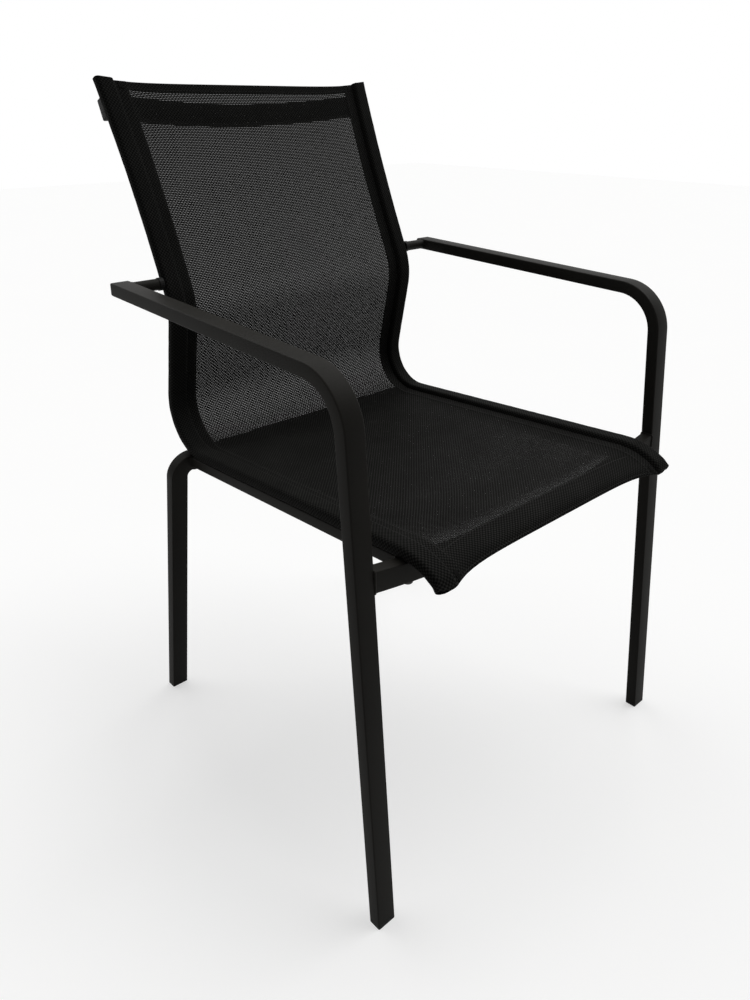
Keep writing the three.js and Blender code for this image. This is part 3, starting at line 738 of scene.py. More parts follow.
class Workshop:
    """Makes mesh objects, holds their materials and hands them to the frame."""

    def __init__(self) -> None:
        """Starts with the materials, and with nothing made."""
        self.finishes = Finishes()
        self.made: list[str] = []

    def mesh(
        self,
        name: str,
        points: Sequence[Vector],
        faces: Sequence[Sequence[int]],
        material: bpy.types.Material | None,
        sharp: float = 40.0,
    ) -> bpy.types.Object:
        """Makes a closed, smooth-shaded mesh object.

        Args:
            name: the piece's name.
            points: its vertices, in millimetres.
            faces: its faces.
            material: its material, or None.
            sharp: the angle above which an edge stays sharp.

        Returns:
            The object, at the origin, in metres.
        """
        data = bpy.data.meshes.new(name)
        data.from_pydata([tuple(point * MM) for point in points], [], faces)
        work = bmesh.new()
        work.from_mesh(data)
        bmesh.ops.recalc_face_normals(work, faces=work.faces)
        work.to_mesh(data)
        work.free()
        data.shade_smooth()
        data.set_sharp_from_angle(angle=math.radians(sharp))
        if material is not None:
            data.materials.append(material)
        return add_object(name, data)

    def sweep(
        self,
        name: str,
        outlines: Sequence[Sequence[Point2]],
        stations: Sequence[Station],
        material: bpy.types.Material,
        sharp: float = 40.0,
    ) -> bpy.types.Object:
        """Makes a solid by carrying an outline along its stations.

        Args:
            name: the piece's name.
            outlines: an outline for each station, all with as many points, or one for all.
            stations: the stations in order.
            material: its material.
            sharp: the angle above which an edge stays sharp.

        Returns:
            The object.
        """
        if len(outlines) == 1:
            outlines = [outlines[0]] * len(stations)
        points = [
            station.at(u, v) for outline, station in zip(outlines, stations) for u, v in outline
        ]
        return self.mesh(name, points, ring_faces(len(outlines[0]), len(stations)), material, sharp)

    def keep(self, piece: bpy.types.Object, slot: str, *nodes: str) -> None:
        """Puts a finished piece on the chair.

        Args:
            piece: the piece.
            slot: not used.
            nodes: the nodes of the model that it stands for.
        """
        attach(piece, BODY)
        if nodes:
            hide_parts(*nodes)
        self.made.append(piece.name)
        log.info("%s: %d faces", piece.name, len(piece.data.polygons))


@dataclass
class Assembly:
    """What is built in the workshop."""

    shop: Workshop

    def tube(self, name: str, node: str, outline: Sequence[Point2], stations: Sequence[Station]) -> None:
        """Makes a coated tube.

        Args:
            name: the piece's name.
            node: the node of the model that it stands for.
            outline: its section.
            stations: where the section stands along it.
        """
        piece = self.shop.sweep(name, [outline], stations, self.shop.finishes.coat)
        self.shop.keep(piece, "powder_coat", node)

    def cap(self, name: str, node: str, dome: Dome, tube: Tube, past: Callable[[float], Station]) -> None:
        """Makes the domed head of a plastic plug.

        Args:
            name: the piece's name.
            node: the node of the model that it stands for.
            dome: the head's form.
            tube: the tube that it closes.
            past: gives the section's frame at a distance past the tube's end.
        """
        turns = spread(0.0, math.pi / 2, dome.steps)
        shrinks = [0.0, *(2 * dome.rounding * (1 - math.cos(turn)) for turn in turns)]
        outlines = [tube.outline(shrink, dome.ease * shrink) for shrink in shrinks]
        reaches = [dome.start, *(dome.gap + dome.head * math.sin(turn) for turn in turns)]
        stations = [past(reach) for reach in reaches]
        piece = self.shop.sweep(name, outlines, stations, self.shop.finishes.plastic, sharp=60.0)
        self.shop.keep(piece, "black_plastic", node)


class Pattern(NodeTree):
    """A Geometry Nodes tree in the making, with named inputs."""

    def __init__(self, name: str) -> None:
        """Starts a tree with a geometry input and output.

        Args:
            name: the tree's name.
        """
        super().__init__(bpy.data.node_groups.new(name, "GeometryNodeTree"))
        for way in ("INPUT", "OUTPUT"):
            self.tree.interface.new_socket("Geometry", in_out=way, socket_type="NodeSocketGeometry")
        self.entry = self.node("NodeGroupInput")
        self.exit = self.node("NodeGroupOutput")
        self.inputs: dict[str, str] = {}
        self.sizes: dict[str, float] = {}

    def size(self, name: str, value: float) -> bpy.types.NodeSocket:
        """Adds a named number input.

        Args:
            name: its name.
            value: what it is set to.

        Returns:
            Its socket inside the tree.
        """
        made = self.tree.interface.new_socket(name, in_out="INPUT", socket_type="NodeSocketFloat")
        made.default_value = value
        self.inputs[name] = made.identifier
        self.sizes[name] = value
        return self.entry.outputs[name]

    def vector(self, x: Any, y: Any, z: Any) -> bpy.types.NodeSocket:
        """A vector of three numbers or sockets."""
        return self.node("ShaderNodeCombineXYZ", {}, {"X": x, "Y": y, "Z": z}).outputs[0]

    def instances(self, points: Any, model: Any, turn: Any, scale: Any) -> bpy.types.NodeSocket:
        """Sets a model on points.

        Args:
            points: the points' socket.
            model: the model's socket.
            turn: the socket of its rotation.
            scale: the socket of its scale.

        Returns:
            The socket of the instances.
        """
        values = {"Points": points, "Instance": model, "Rotation": turn, "Scale": scale}
        return self.node("GeometryNodeInstanceOnPoints", {}, values).outputs[0]

    def finish(self, geometry: bpy.types.NodeSocket, material: bpy.types.Material) -> None:
        """Ends the tree in real geometry with its material.

        Args:
            geometry: the socket of what it makes.
            material: the material of it all.
        """
        real = self.node("GeometryNodeRealizeInstances", {}, {"Geometry": geometry}).outputs[0]
        values = {"Geometry": real, "Material": material}
        dressed = self.node("GeometryNodeSetMaterial", {}, values).outputs[0]
        self.tree.links.new(dressed, self.exit.inputs["Geometry"])

    def apply(self, name: str, base: bpy.types.Mesh) -> bpy.types.Object:
        """Runs the tree on a mesh.

        Args:
            name: the new object's name.
            base: the mesh that the pattern follows.

        Returns:
            A plain mesh object with the result.
        """
        carrier = add_object(name + "_path", base)
        modifier = carrier.modifiers.new("pattern", "NODES")
        modifier.node_group = self.tree
        for label, value in self.sizes.items():
            modifier[self.inputs[label]] = value
        graph = bpy.context.evaluated_depsgraph_get()
        data = bpy.data.meshes.new_from_object(carrier.evaluated_get(graph))
        carrier.modifiers.clear()
        bpy.data.objects.remove(carrier)
        data.name = name
        return add_object(name, data)


def path_mesh(name: str, runs: Iterable[Sequence[Vector]], closed: bool = False) -> bpy.types.Mesh:
    """A mesh of bare edges for a pattern to follow.

    Args:
        name: its name.
        runs: rows of points, in millimetres.
        closed: whether the last point of each run joins its first.

    Returns:
        The mesh, in metres.
    """
    points: list[tuple[float, ...]] = []
    edges: list[tuple[int, int]] = []
    for run in runs:
        first = len(points)
        points += [tuple(point * MM) for point in run]
        edges += [(i, i + 1) for i in range(first, len(points) - 1)]
        if closed:
            edges.append((len(points) - 1, first))
    data = bpy.data.meshes.new(name)
    data.from_pydata(points, edges, [])
    return data


@dataclass(frozen=True)
class Beads:
    """Small balls in a row along a line: the stitches of a seam, or the ripples of a weld."""

    pitch: float
    length: float
    thick: float
    segments: int = 6
    rings: int = 5

    def lay(self, name: str, lines: bpy.types.Mesh, material: bpy.types.Material) -> bpy.types.Object:
        """Lays them along the edges of a mesh.

        Args:
            name: the piece's name.
            lines: the mesh.
            material: the material of them all.

        Returns:
            The object with all the balls.
        """
        pattern = Pattern("bead_row")
        pitch = pattern.size("Pitch", self.pitch * MM)
        length = pattern.size("Length", self.length * MM)
        thick = pattern.size("Thickness", self.thick * MM)
        curves = pattern.node("GeometryNodeMeshToCurve", {}, {"Mesh": pattern.entry.outputs["Geometry"]})
        values = {"Curve": curves.outputs[0], "Length": pitch}
        spots = pattern.node("GeometryNodeCurveToPoints", {"mode": "LENGTH"}, values).outputs
        values = {"Segments": self.segments, "Rings": self.rings, "Radius": 0.5}
        ball = pattern.node("GeometryNodeMeshUVSphere", {}, values).outputs["Mesh"]
        size = pattern.vector(thick, thick, length)
        pattern.finish(pattern.instances(spots["Points"], ball, spots["Rotation"], size), material)
        return pattern.apply(name, lines)


# The sling


@dataclass
class Sling(Assembly):
    """The stretched sheet: one cloth with a sleeve round each rail, side hems and end hems."""

    top: Point2 = (600.3 - MIDDLE, 916.5)
    heading: float = -113.7
    upper_back: float = 279.0
    lumbar_bend: Point2 = (85.0, 36.0)
    lower_back: float = 101.0
    seat_bend: Point2 = (62.4, -105.6)
    seat_length: float = 398.0
    front_bend: Point2 = (90.0, 39.3)
    front_tail: float = 8.0
    rail_half_wide: float = 11.3
    rail_half_deep: float = 6.6
    rail_corner: float = 4.3
    sleeve_reach: float = 12.2
    cloth: float = 0.86
    mesh_cloth: float = 0.25
    looseness: float = 0.16
    waves: tuple[tuple[float, float, float], ...] = (
        (0.113, 0.07, 0.0),
        (0.047, -0.031, 1.3),
        (0.29, 0.17, 0.7),
    )
    slow_waves: float = 0.6
    seam_at: float = 193.6
    hem_at: float = 178.0
    hem_gap: float = 0.06
    hem_columns: tuple[float, ...] = (0.0, 0.8, 4.0, 8.0, 12.0, 14.2)
    hem_taper: tuple[Point2, ...] = ((1.2, 0.8), (4.0, 0.4))
    sheet_columns: tuple[float, ...] = (170, 160, 148, 134, 118, 100, 80, 60, 40, 20)
    sleeve_open: float = 22.0
    corner_steps: int = 6
    flat_columns: Point2 = (0.34, -0.34)
    top_hem: float = 12.0
    front_hem: float = 39.0
    fold_extra: float = 0.85
    fold_step: Point2 = (-0.3, 0.5)
    fold_rows: Point2 = (0.6, 0.7)
    edge_rows: Point2 = (0.6, 1.6)
    row_step: float = 9.0
    flare: float = 9.0
    flare_length: float = 225.0
    back_sag: float = 5.0
    seat_sag: float = 7.0
    top_bow: float = 6.5
    front_bow: float = 13.0
    bow_power: float = 6.0
    roll_reach: float = 14.0
    roll_drop: float = 4.5
    fade: float = 160.0
    mouth_half: float = 4.2
    mouth_run: float = 14.0
    mouth_reach: float = 3.0
    mouth_edge: float = 2.0
    front_ease: float = 4.5
    top_ease: float = 3.0
    seam_stitch: Beads = Beads(pitch=4.2, length=3.3, thick=0.62)
    seams: Point2 = (192.4, 180.2)
    seam_lift: float = 0.12
    seam_margin: float = 2.0
    seam_steps: int = 340
    hem_seam_half: float = 176.0
    hem_seam_lift: Point2 = (0.1, 0.5)
    hem_seam_steps: int = 110
    top_seam_inset: float = 2.2
    front_seam_insets: Point2 = (2.4, 3.0)
    tack_stitch: Beads = Beads(pitch=1.3, length=2.2, thick=0.8)
    tack_at: float = 186.5
    tack_half: float = 2.4
    tack_lift: float = 0.3
    tack_length: float = 11.0
    tack_insets: Point2 = (0.6, 1.0)
    tack_turns: int = 22

    def __post_init__(self) -> None:
        """Works out the route."""
        self.route = Route(
            Plane(Vector(), BACK, UP, ACROSS),
            self.top,
            self.heading,
            self.upper_back,
            self.lumbar_bend,
            self.lower_back,
            self.seat_bend,
            self.seat_length,
            self.front_bend,
            self.front_tail,
        )
        self.inner = RAIL_SPREAD - self.sleeve_reach
        self.bend_start = self.route.pieces[3][0]
        self.seat_start = self.route.pieces[4][0]

    def flare_at(self, distance: float) -> float:
        """How far the rails stand out near the top of the back."""
        share = min(max(1 - distance / self.flare_length, 0.0), 1.0)
        return self.flare * share * share

    @staticmethod
    def step(value: float, low: float, high: float) -> float:
        """A smooth step from 0, where the value is low, to 1, where it is high."""
        share = min(max((value - low) / (high - low), 0.0), 1.0)
        return share * share * (3 - 2 * share)

    def point(self, distance: float, u: float, v: float) -> Vector:
        """Where a point of the flat cross-section lies on the stretched cloth.

        Args:
            distance: how far along the route the cross-section is.
            u: the point's place across.
            v: its place out of the sheet, to the sitter's side.

        Returns:
            The point.
        """
        from_front = self.route.length - distance
        share = min(abs(u) / self.inner, 1.0)
        across = u + math.copysign(self.flare_at(distance) * share, u)
        mouth = self.step(self.mouth_run - from_front, 0.0, self.mouth_run)
        top = self.step(self.mouth_run - distance, 0.0, self.mouth_run)
        outward = max(abs(u) - RAIL_SPREAD, 0.0) / self.sleeve_reach
        if abs(u) > self.inner - self.mouth_edge:
            v *= 1 - mouth + mouth * self.mouth_half / (self.rail_half_deep + self.cloth)
            across += math.copysign(self.mouth_reach * mouth * outward, u)
        settled = self.step(distance, 0, self.fade) * self.step(from_front, 0, self.fade)
        deep = self.step(distance, self.bend_start, self.seat_start)
        sag = settled * (self.back_sag + (self.seat_sag - self.back_sag) * deep)
        drawn = self.top_bow * (1 - self.step(distance, 0, self.fade))
        drawn -= self.front_bow * (1 - self.step(from_front, 0, self.fade))
        shift = drawn * (1 - share**self.bow_power)
        wrap = self.rail_half_wide + self.cloth
        inward = min((RAIL_SPREAD + wrap - abs(u)) / (2 * wrap), 1.0)
        shift += self.top_ease * top * share**self.bow_power * inward
        shift -= self.front_ease * mouth * outward**2
        rolled = max(1 - from_front / self.roll_reach, 0.0) ** 2 * self.roll_drop
        drop = sag * (1 - share**2) + rolled * (1 - share**self.bow_power)
        return self.route.station(distance + shift).at(across, drop - v)

    def columns(self) -> list[tuple[float, float, Zone]]:
        """The middle line of the cloth's cross-section, from the left hem's edge to the right one's.

        Returns:
            Each column's (u, v) and its zone, in order along the cloth.
        """
        half = self.cloth / 2
        wrap_u, wrap_v = self.rail_half_wide + half, self.rail_half_deep + half
        radius = self.rail_corner + half
        centre_u, centre_v = wrap_u - radius, wrap_v - radius
        right: list[tuple[float, float, Zone]] = []
        hem = [*(self.hem_at + run for run in self.hem_columns), self.seam_at]
        right += [(u, -half - self.hem_gap, Zone.HEM) for u in hem]
        corners = [
            (-centre_u, -centre_v, 180 + self.sleeve_open, 270.0),
            (centre_u, -centre_v, 270.0, 360.0),
            (centre_u, centre_v, 0.0, 90.0),
            (-centre_u, centre_v, 90.0, 180 - self.sleeve_open),
        ]
        for u, v, low, high in corners:
            for turn in spread(low, high, self.corner_steps):
                angle = math.radians(turn)
                place = (RAIL_SPREAD + u + radius * math.cos(angle), v + radius * math.sin(angle))
                right.append((*place, Zone.SLEEVE))
            if u * v > 0:
                inward = [RAIL_SPREAD + share * u for share in self.flat_columns]
                right += [(place, math.copysign(wrap_v, v), Zone.SLEEVE) for place in inward]
        right += [(u, half + self.hem_gap, Zone.HEM) for u in reversed(hem)]
        right += [(self.hem_at - run, half * share, Zone.SHEET) for run, share in self.hem_taper]
        right += [(u, 0.0, Zone.SHEET) for u in self.sheet_columns]
        left = [(-u, v, zone) for u, v, zone in right]
        return [*left, (0.0, 0.0, Zone.SHEET), *reversed(right)]

    def stations(self) -> list[float]:
        """The distances at which the cloth has a row of points.

        Returns:
            The distances in order.
        """
        end = self.route.length
        inside, outside = self.fold_rows
        fold = end - self.front_hem
        edges = [0.0, *self.edge_rows, self.top_hem - inside, self.top_hem, self.top_hem + outside]
        edges += [end - reach for reach in spread(0.0, self.roll_reach, 6)]
        edges += [fold - outside, fold, fold + inside, end - self.mouth_run, end - self.mouth_run / 2]
        edges += [end - row for row in self.edge_rows]
        return self.route.marks(self.row_step, extra=edges)

    def folded(self, distance: float) -> float:
        """1 where the cloth's end is folded double, and 0 elsewhere.

        Args:
            distance: how far along the route it is.

        Returns:
            The share of the fold.
        """
        low, high = self.fold_step
        ends = ((distance, self.top_hem), (self.route.length - distance, self.front_hem))
        return max(1 - self.step(place, hem + low, hem + high) for place, hem in ends)

    def ripple(self, distance: float, u: float) -> float:
        """A small fixed waviness, between -1 and 1, that no two places share.

        Args:
            distance: how far along the route it is.
            u: the place across.

        Returns:
            The wave.
        """
        swell, turn, quick = (
            math.sin(distance * along + u * across + start) for along, across, start in self.waves
        )
        return self.slow_waves * swell * turn + (1 - self.slow_waves) * quick

    @staticmethod
    def normals(columns: Sequence[tuple[float, float, Zone]]) -> list[Point2]:
        """The cross-section's outward direction at each of its columns.

        Args:
            columns: the columns in order.

        Returns:
            The directions, one unit long.
        """
        found = []
        for i in range(len(columns)):
            before, after = columns[max(i - 1, 0)], columns[min(i + 1, len(columns) - 1)]
            du, dv = after[0] - before[0], after[1] - before[1]
            size = math.hypot(du, dv)
            found.append((-dv / size, du / size))
        return found

    @staticmethod
    def faces(rows: int, count: int) -> list[tuple[int, ...]]:
        """The faces of the closed sheet.

        Args:
            rows: the number of rows.
            count: the number of columns, each with a point on both sides of the cloth.

        Returns:
            The faces round the sheet, and then those of its two ends.
        """
        ring = 2 * count
        ends = [
            (row + k, row + k + 1, row + ring - 2 - k, row + ring - 1 - k)
            for row in (0, (rows - 1) * ring)
            for k in range(count - 1)
        ]
        return [*ring_faces(ring, rows)[:-2], *ends]

    def build(self) -> None:
        """Makes the cloth as one closed sheet with its own coordinates for the weave."""
        columns = self.columns()
        lengths = [0.0]
        for one, two in zip(columns, columns[1:]):
            lengths.append(lengths[-1] + math.hypot(two[0] - one[0], two[1] - one[1]))
        middle = lengths[len(columns) // 2]
        rows = self.stations()
        normals = self.normals(columns)
        points: list[Vector] = []
        places: list[Point2] = []
        single: list[float] = []
        for distance in rows:
            fold = self.folded(distance)
            for face in (1, -1):
                for (u, v, zone), (nu, nv), length in list(zip(columns, normals, lengths))[::face]:
                    sheet = zone is Zone.SHEET
                    thick = self.mesh_cloth if sheet else self.cloth
                    if sheet and face < 0:
                        thick += 2 * self.fold_extra * fold
                    loose = 0.0 if sheet else self.looseness * self.ripple(distance, u)
                    offset = face * thick / 2 + loose
                    points.append(self.point(distance, u + nu * offset, v + nv * offset))
                    places.append(((length - middle) * MM, distance * MM))
                    single.append((1 - fold) if sheet else 0.0)
        faces = self.faces(len(rows), len(columns))
        piece = self.shop.mesh("sling_cloth", points, faces, self.shop.finishes.cloth, sharp=50.0)
        data = piece.data
        layer = data.uv_layers.new(name="weave")
        for loop in data.loops:
            layer.data[loop.index].uv = places[loop.vertex_index]
        marks = data.attributes.new("single", "FLOAT", "POINT")
        marks.data.foreach_set("value", single)
        self.shop.keep(piece, "sling_mesh", "sling")
        length = (self.route.length + self.top_hem + self.front_hem) * MM

    def seam_runs(self) -> list[list[Vector]]:
        """The lines of the seams on both faces of the cloth: the sleeves', the hems' and the ends'.

        Returns:
            The points of each line.
        """
        end = self.route.length
        lift = self.cloth + self.seam_lift
        rows = spread(self.seam_margin, end - self.seam_margin, self.seam_steps)
        runs = [
            [self.point(row, side.value * place, face * lift) for row in rows]
            for side in Side
            for place in self.seams
            for face in (1, -1)
        ]
        inset, last = self.front_seam_insets
        over, under = self.hem_seam_lift
        lifts = (self.mesh_cloth / 2 + over, -self.mesh_cloth / 2 - self.fold_extra - under)
        across = spread(-self.hem_seam_half, self.hem_seam_half, self.hem_seam_steps)
        for distance in (self.top_hem - self.top_seam_inset, end - self.front_hem + inset, end - last):
            runs += [[self.point(distance, u, face) for u in across] for face in lifts]
        return runs

    def tack_runs(self) -> list[list[Vector]]:
        """The dense zigzag of the bar tacks where the end hems meet the sleeves.

        Returns:
            The points of each tack.
        """
        first, last = self.tack_insets
        starts = (first, self.route.length - last - self.tack_length)
        return [
            [
                self.point(
                    distance,
                    side.value * (self.tack_at + (self.tack_half if step % 2 else -self.tack_half)),
                    self.cloth + self.tack_lift,
                )
                for step, distance in enumerate(spread(start, start + self.tack_length, self.tack_turns))
            ]
            for side in Side
            for start in starts
        ]

    def sew(self) -> None:
        """Lays the stitches and the bar tacks."""
        shop = self.shop
        lines = path_mesh("seam_lines", self.seam_runs())
        shop.keep(self.seam_stitch.lay("seam_stitches", lines, shop.finishes.thread), "sling_mesh")
        lines = path_mesh("tack_lines", self.tack_runs())
        shop.keep(self.tack_stitch.lay("bar_tacks", lines, shop.finishes.black_thread), "sling_mesh")


# The frame


@dataclass
class FrontLeg(Assembly):
    """One bent tube for a front leg and its arm, with the round bar in to the sleeve."""

    side: Side
    section: Tube = Tube()
    plug: Dome = Dome(head=7.0, rounding=5.0, ease=0.1, steps=10)
    middle: float = 272.5
    foot: Point2 = (7.482 - MIDDLE, 5.0)
    heading: float = 86.1
    leg: float = 596.805
    bend: Point2 = (57.5, -84.2)
    arm: float = 394.879
    return_back: float = 7.5
    return_radius: float = 7.5
    return_ends: Point2 = (225.3, 259.85)
    return_edge: float = 2.0
    longest: float = 60.0
    finest: float = 2.5
    weld_radius: float = 6.5
    weld_steps: int = 40

    def __post_init__(self) -> None:
        """Works out the route."""
        out = ACROSS * self.side.value
        plane = Plane(out * self.middle, BACK, UP, out)
        self.route = Route(plane, self.foot, self.heading, self.leg, self.bend, self.arm)

    def return_station(self, across: float) -> Station:
        """The return bar's frame at a distance from the chair's middle.

        Args:
            across: the distance.

        Returns:
            The frame.
        """
        at = self.route.station(self.route.length - self.return_back)
        middle = Vector((self.side.value * across, at.middle.y, at.middle.z))
        return Station(middle, at.along, at.v, at.u)

    def build(self) -> None:
        """Makes the tube, its rear plug and the return bar."""
        name, end = self.side.label, self.route.length
        stations = [self.route.station(mark) for mark in self.route.marks(self.longest, self.finest)]
        self.tube(f"leg_and_arm_{name}", f"front_leg_arm_{name}", self.section.outline(), stations)
        self.cap(
            f"arm_cap_{name}",
            f"arm_end_plug_{name}",
            self.plug,
            self.section,
            lambda reach: self.route.station(end + reach),
        )
        first, last = self.return_ends
        stations = [self.return_station(across) for across in (first, first + self.return_edge, last)]
        self.tube(f"return_bar_{name}", f"arm_return_{name}", circle(self.return_radius), stations)

    def weld_rings(self) -> list[list[Vector]]:
        """The joint of the return bar with the arm."""
        joint = self.return_station(self.return_ends[1])
        return [[joint.at(u, v) for u, v in circle(self.weld_radius, self.weld_steps)]]


@dataclass
class RearFrame(Assembly):
    """One tube for both rear legs and the bar between them, tilted forwards."""

    section: Tube = Tube(wide=16.5, deep=25.0)
    start: Point2 = (-237.452, -418.895)
    splay: float = 0.541
    leg: float = 398.111
    bend: Point2 = (21.0, -89.459)
    bar: float = 425.394
    longest: float = 60.0

    def build(self) -> None:
        """Makes the tube."""
        up, out = tilted(REAR_TILT)
        plane = Plane(Vector((0, REAR_BAR_DEPTH, REAR_BAR_HEIGHT)), ACROSS, up, out)
        moves = (self.leg, self.bend, self.bar, self.bend, self.leg)
        route = Route(plane, self.start, 90 - self.splay, *moves)
        stations = [route.station(mark) for mark in route.marks(self.longest)]
        self.tube("rear_frame_tube", "rear_leg_frame", self.section.outline(), stations)


@dataclass
class FrontBar(Assembly):
    """The bowed bar between the front legs, cut off flush with them."""

    section: Tube = Tube(wide=16.5, deep=25.0)
    ends: float = 443.483
    half: float = 259.7
    radius: float = 1417.085
    angle: float = 10.56
    weld_gap: float = 0.2
    longest: float = 16.0

    def build(self) -> list[list[Vector]]:
        """Makes the bar.

        Returns:
            The lines of its welds.
        """
        plane = Plane(BACK * FRONT_BAR_DEPTH, ACROSS, UP, BACK)
        route = Route(plane, (-self.half, self.ends), -self.angle, (self.radius, 2 * self.angle))
        outline = self.section.outline()
        rows = []
        for mark in route.marks(self.longest):
            station = route.station(mark)
            rows.append([station.at(u, v) for u, v in outline])
            if mark in (0.0, route.length):
                edge = math.copysign(self.half + self.weld_gap, station.middle.x)
                rows[-1] = cut(rows[-1], station.along, ACROSS * edge, ACROSS)
        points = [point for row in rows for point in row]
        faces = ring_faces(len(outline), len(rows))
        tube = self.shop.mesh("front_bar_tube", points, faces, self.shop.finishes.coat)
        self.shop.keep(tube, "powder_coat", "front_crossbar")
        return [rows[0], rows[-1]]


@dataclass
class TopBar(Assembly):
    """The bowed bar behind the top of the back, with its two end plugs."""

    section: Tube = Tube(wide=28.0)
    plug: Dome = Dome(head=2.0, rounding=1.2, ease=-1 / 3, steps=4)
    centre: tuple[float, float, float] = (0, 601.732 - MIDDLE, 879.832)
    half: float = 218.054
    end: float = 27.0
    blend: float = 40.0
    angle: float = 16.088
    radius: float = 649.453
    longest: float = 14.0

    def build(self) -> None:
        """Makes the bar and its plugs."""
        up, rearward = tilted(-TOP_LEAN)
        plane = Plane(Vector(self.centre), ACROSS, -rearward, up)
        blend = (self.blend, -self.angle)
        moves = (self.end, blend, (self.radius, 2 * self.angle), blend, self.end)
        route = Route(plane, (-self.half, 0.0), 0.0, *moves)
        stations = [route.station(mark) for mark in route.marks(self.longest)]
        self.tube("top_bar_tube", "top_crossbar", self.section.outline(), stations)
        for side, end in ((Side.LEFT, 0.0), (Side.RIGHT, route.length)):
            self.cap(
                f"top_bar_cap_{side.label}",
                f"top_bar_plug_{side.label}",
                self.plug,
                self.section,
                lambda reach: route.station(end + side.value * reach),
            )


@dataclass
class SideTubes(Assembly):
    """The straight tubes under the seat's edges, cut to fit the front bar and the rear frame."""

    section: Tube = Tube(wide=20.0, deep=14.5)
    middle: Point2 = (439.023 - MIDDLE, 419.361)
    slope: float = 3.3
    weld_gap: float = 0.05

    def build(self) -> list[list[Vector]]:
        """Makes both tubes.

        Returns:
            The lines of their welds.
        """
        raised, rearward = tilted(-self.slope)
        out = tilted(REAR_TILT)[1]
        reach = Tube().deep / 2 + self.weld_gap
        rear = Vector((0, REAR_BAR_DEPTH, REAR_BAR_HEIGHT)) - out * reach
        outline = self.section.outline()
        rings = []
        for side in Side:
            middle = Vector((side.value * RAIL_SPREAD, *self.middle))
            flat = [middle + u * ACROSS + v * raised for u, v in outline]
            back = cut(flat, rearward, rear, out)
            fore = cut(flat, rearward, BACK * (FRONT_BAR_DEPTH + reach), BACK)
            middles = [0.5 * (one + two) for one, two in zip(back, fore)]
            points = [*back, *middles, *fore]
            faces = ring_faces(len(outline), 3)
            tube = self.shop.mesh(f"seat_side_tube_{side.label}", points, faces, self.shop.finishes.coat)
            self.shop.keep(tube, "powder_coat", f"side_tube_{side.label}")
            rings += [back, fore]
        return rings


@dataclass
class Screws(Assembly):
    """Button-head screws with a hex socket, under the front and rear bars and behind the top bar."""

    shank: float = 3.0
    neck: float = 0.2
    head: float = 6.0
    edge: float = 0.3
    high: float = 3.8
    rim: float = 0.8
    socket: float = 2.1
    socket_rim: float = 1.22
    socket_deep: float = 2.2
    reach: float = 20.0
    steps: int = 36
    dome_steps: int = 6
    front: tuple[float, float, float] = (RAIL_SPREAD, FRONT_BAR_DEPTH, 420.813)
    rear: tuple[float, float, float] = (RAIL_SPREAD, 477.024 - MIDDLE, 405.048)
    top: tuple[float, float, float] = (213.054, 609.561 - MIDDLE, 876.395)

    def hexagon(self) -> list[Point2]:
        """The socket's outline, with as many points as each ring of the head.

        Returns:
            Its points, anticlockwise.
        """
        side = math.pi / 3
        found = []
        for k in range(self.steps):
            turn = 2 * math.pi * k / self.steps
            radius = self.socket * math.cos(side / 2) / math.cos((turn + side / 2) % side - side / 2)
            found.append((radius * math.cos(turn), radius * math.sin(turn)))
        return found

    def screw(self) -> bpy.types.Object:
        """Makes one screw whose head seats at Z = 0 and whose shank runs up.

        Returns:
            The screw.
        """
        mouth = self.socket * self.socket_rim
        profile = [(self.shank, self.reach), (self.shank, self.neck)]
        profile += [(self.head - self.edge, 0.0), (self.head, -self.edge)]
        for turn in spread(0.0, math.pi / 2, self.dome_steps):
            depth = self.rim + (self.high - self.rim) * math.sin(turn)
            profile.append((mouth + (self.head - mouth) * math.cos(turn), -depth))
        rings = [(circle(radius, self.steps), z) for radius, z in profile]
        rings += [(self.hexagon(), -depth) for depth in (self.high, self.high - self.socket_deep)]
        points = [Vector((x, y, z)) for outline, z in rings for x, y in outline]
        return self.shop.mesh("screw_model", points, ring_faces(self.steps, len(rings)), None, sharp=35.0)

    def base(self) -> bpy.types.Mesh:
        """The six places of the screws, each marked with its screw's axis.

        Returns:
            A mesh with a point for each screw.
        """
        axes = {
            self.front: UP,
            self.rear: tilted(REAR_TILT)[0],
            self.top: -tilted(-TOP_LEAN)[1],
        }
        spots = [
            (Vector((side.value * x, y, z)) * MM, axis) for (x, y, z), axis in axes.items() for side in Side
        ]
        data = bpy.data.meshes.new("screw_places")
        data.from_pydata([tuple(spot) for spot, _ in spots], [], [])
        marks = data.attributes.new("axis", "FLOAT_VECTOR", "POINT")
        for mark, (_, axis) in zip(marks.data, spots):
            mark.vector = axis
        return data

    def build(self) -> None:
        """Sets a screw on each place, along the place's own axis."""
        model = self.screw()
        pattern = Pattern("screw_set")
        scale = pattern.size("Screw scale", 1.0)
        settings = {"data_type": "FLOAT_VECTOR"}
        axis = pattern.node("GeometryNodeInputNamedAttribute", settings, {"Name": "axis"})
        values = {"Vector": axis.outputs["Attribute"]}
        turn = pattern.node("FunctionNodeAlignRotationToVector", {"axis": "Z"}, values).outputs[0]
        source = pattern.node("GeometryNodeObjectInfo", {}, {"Object": model}).outputs["Geometry"]
        size = pattern.vector(scale, scale, scale)
        screws = pattern.instances(pattern.entry.outputs["Geometry"], source, turn, size)
        pattern.finish(screws, self.shop.finishes.black_steel)
        piece = pattern.apply("hex_screws", self.base())
        bpy.data.objects.remove(model)
        nodes = [f"{place}_bolt_{side.label}" for place in ("front", "rear", "top") for side in Side]
        self.shop.keep(piece, "black_steel", *nodes)


# The studio


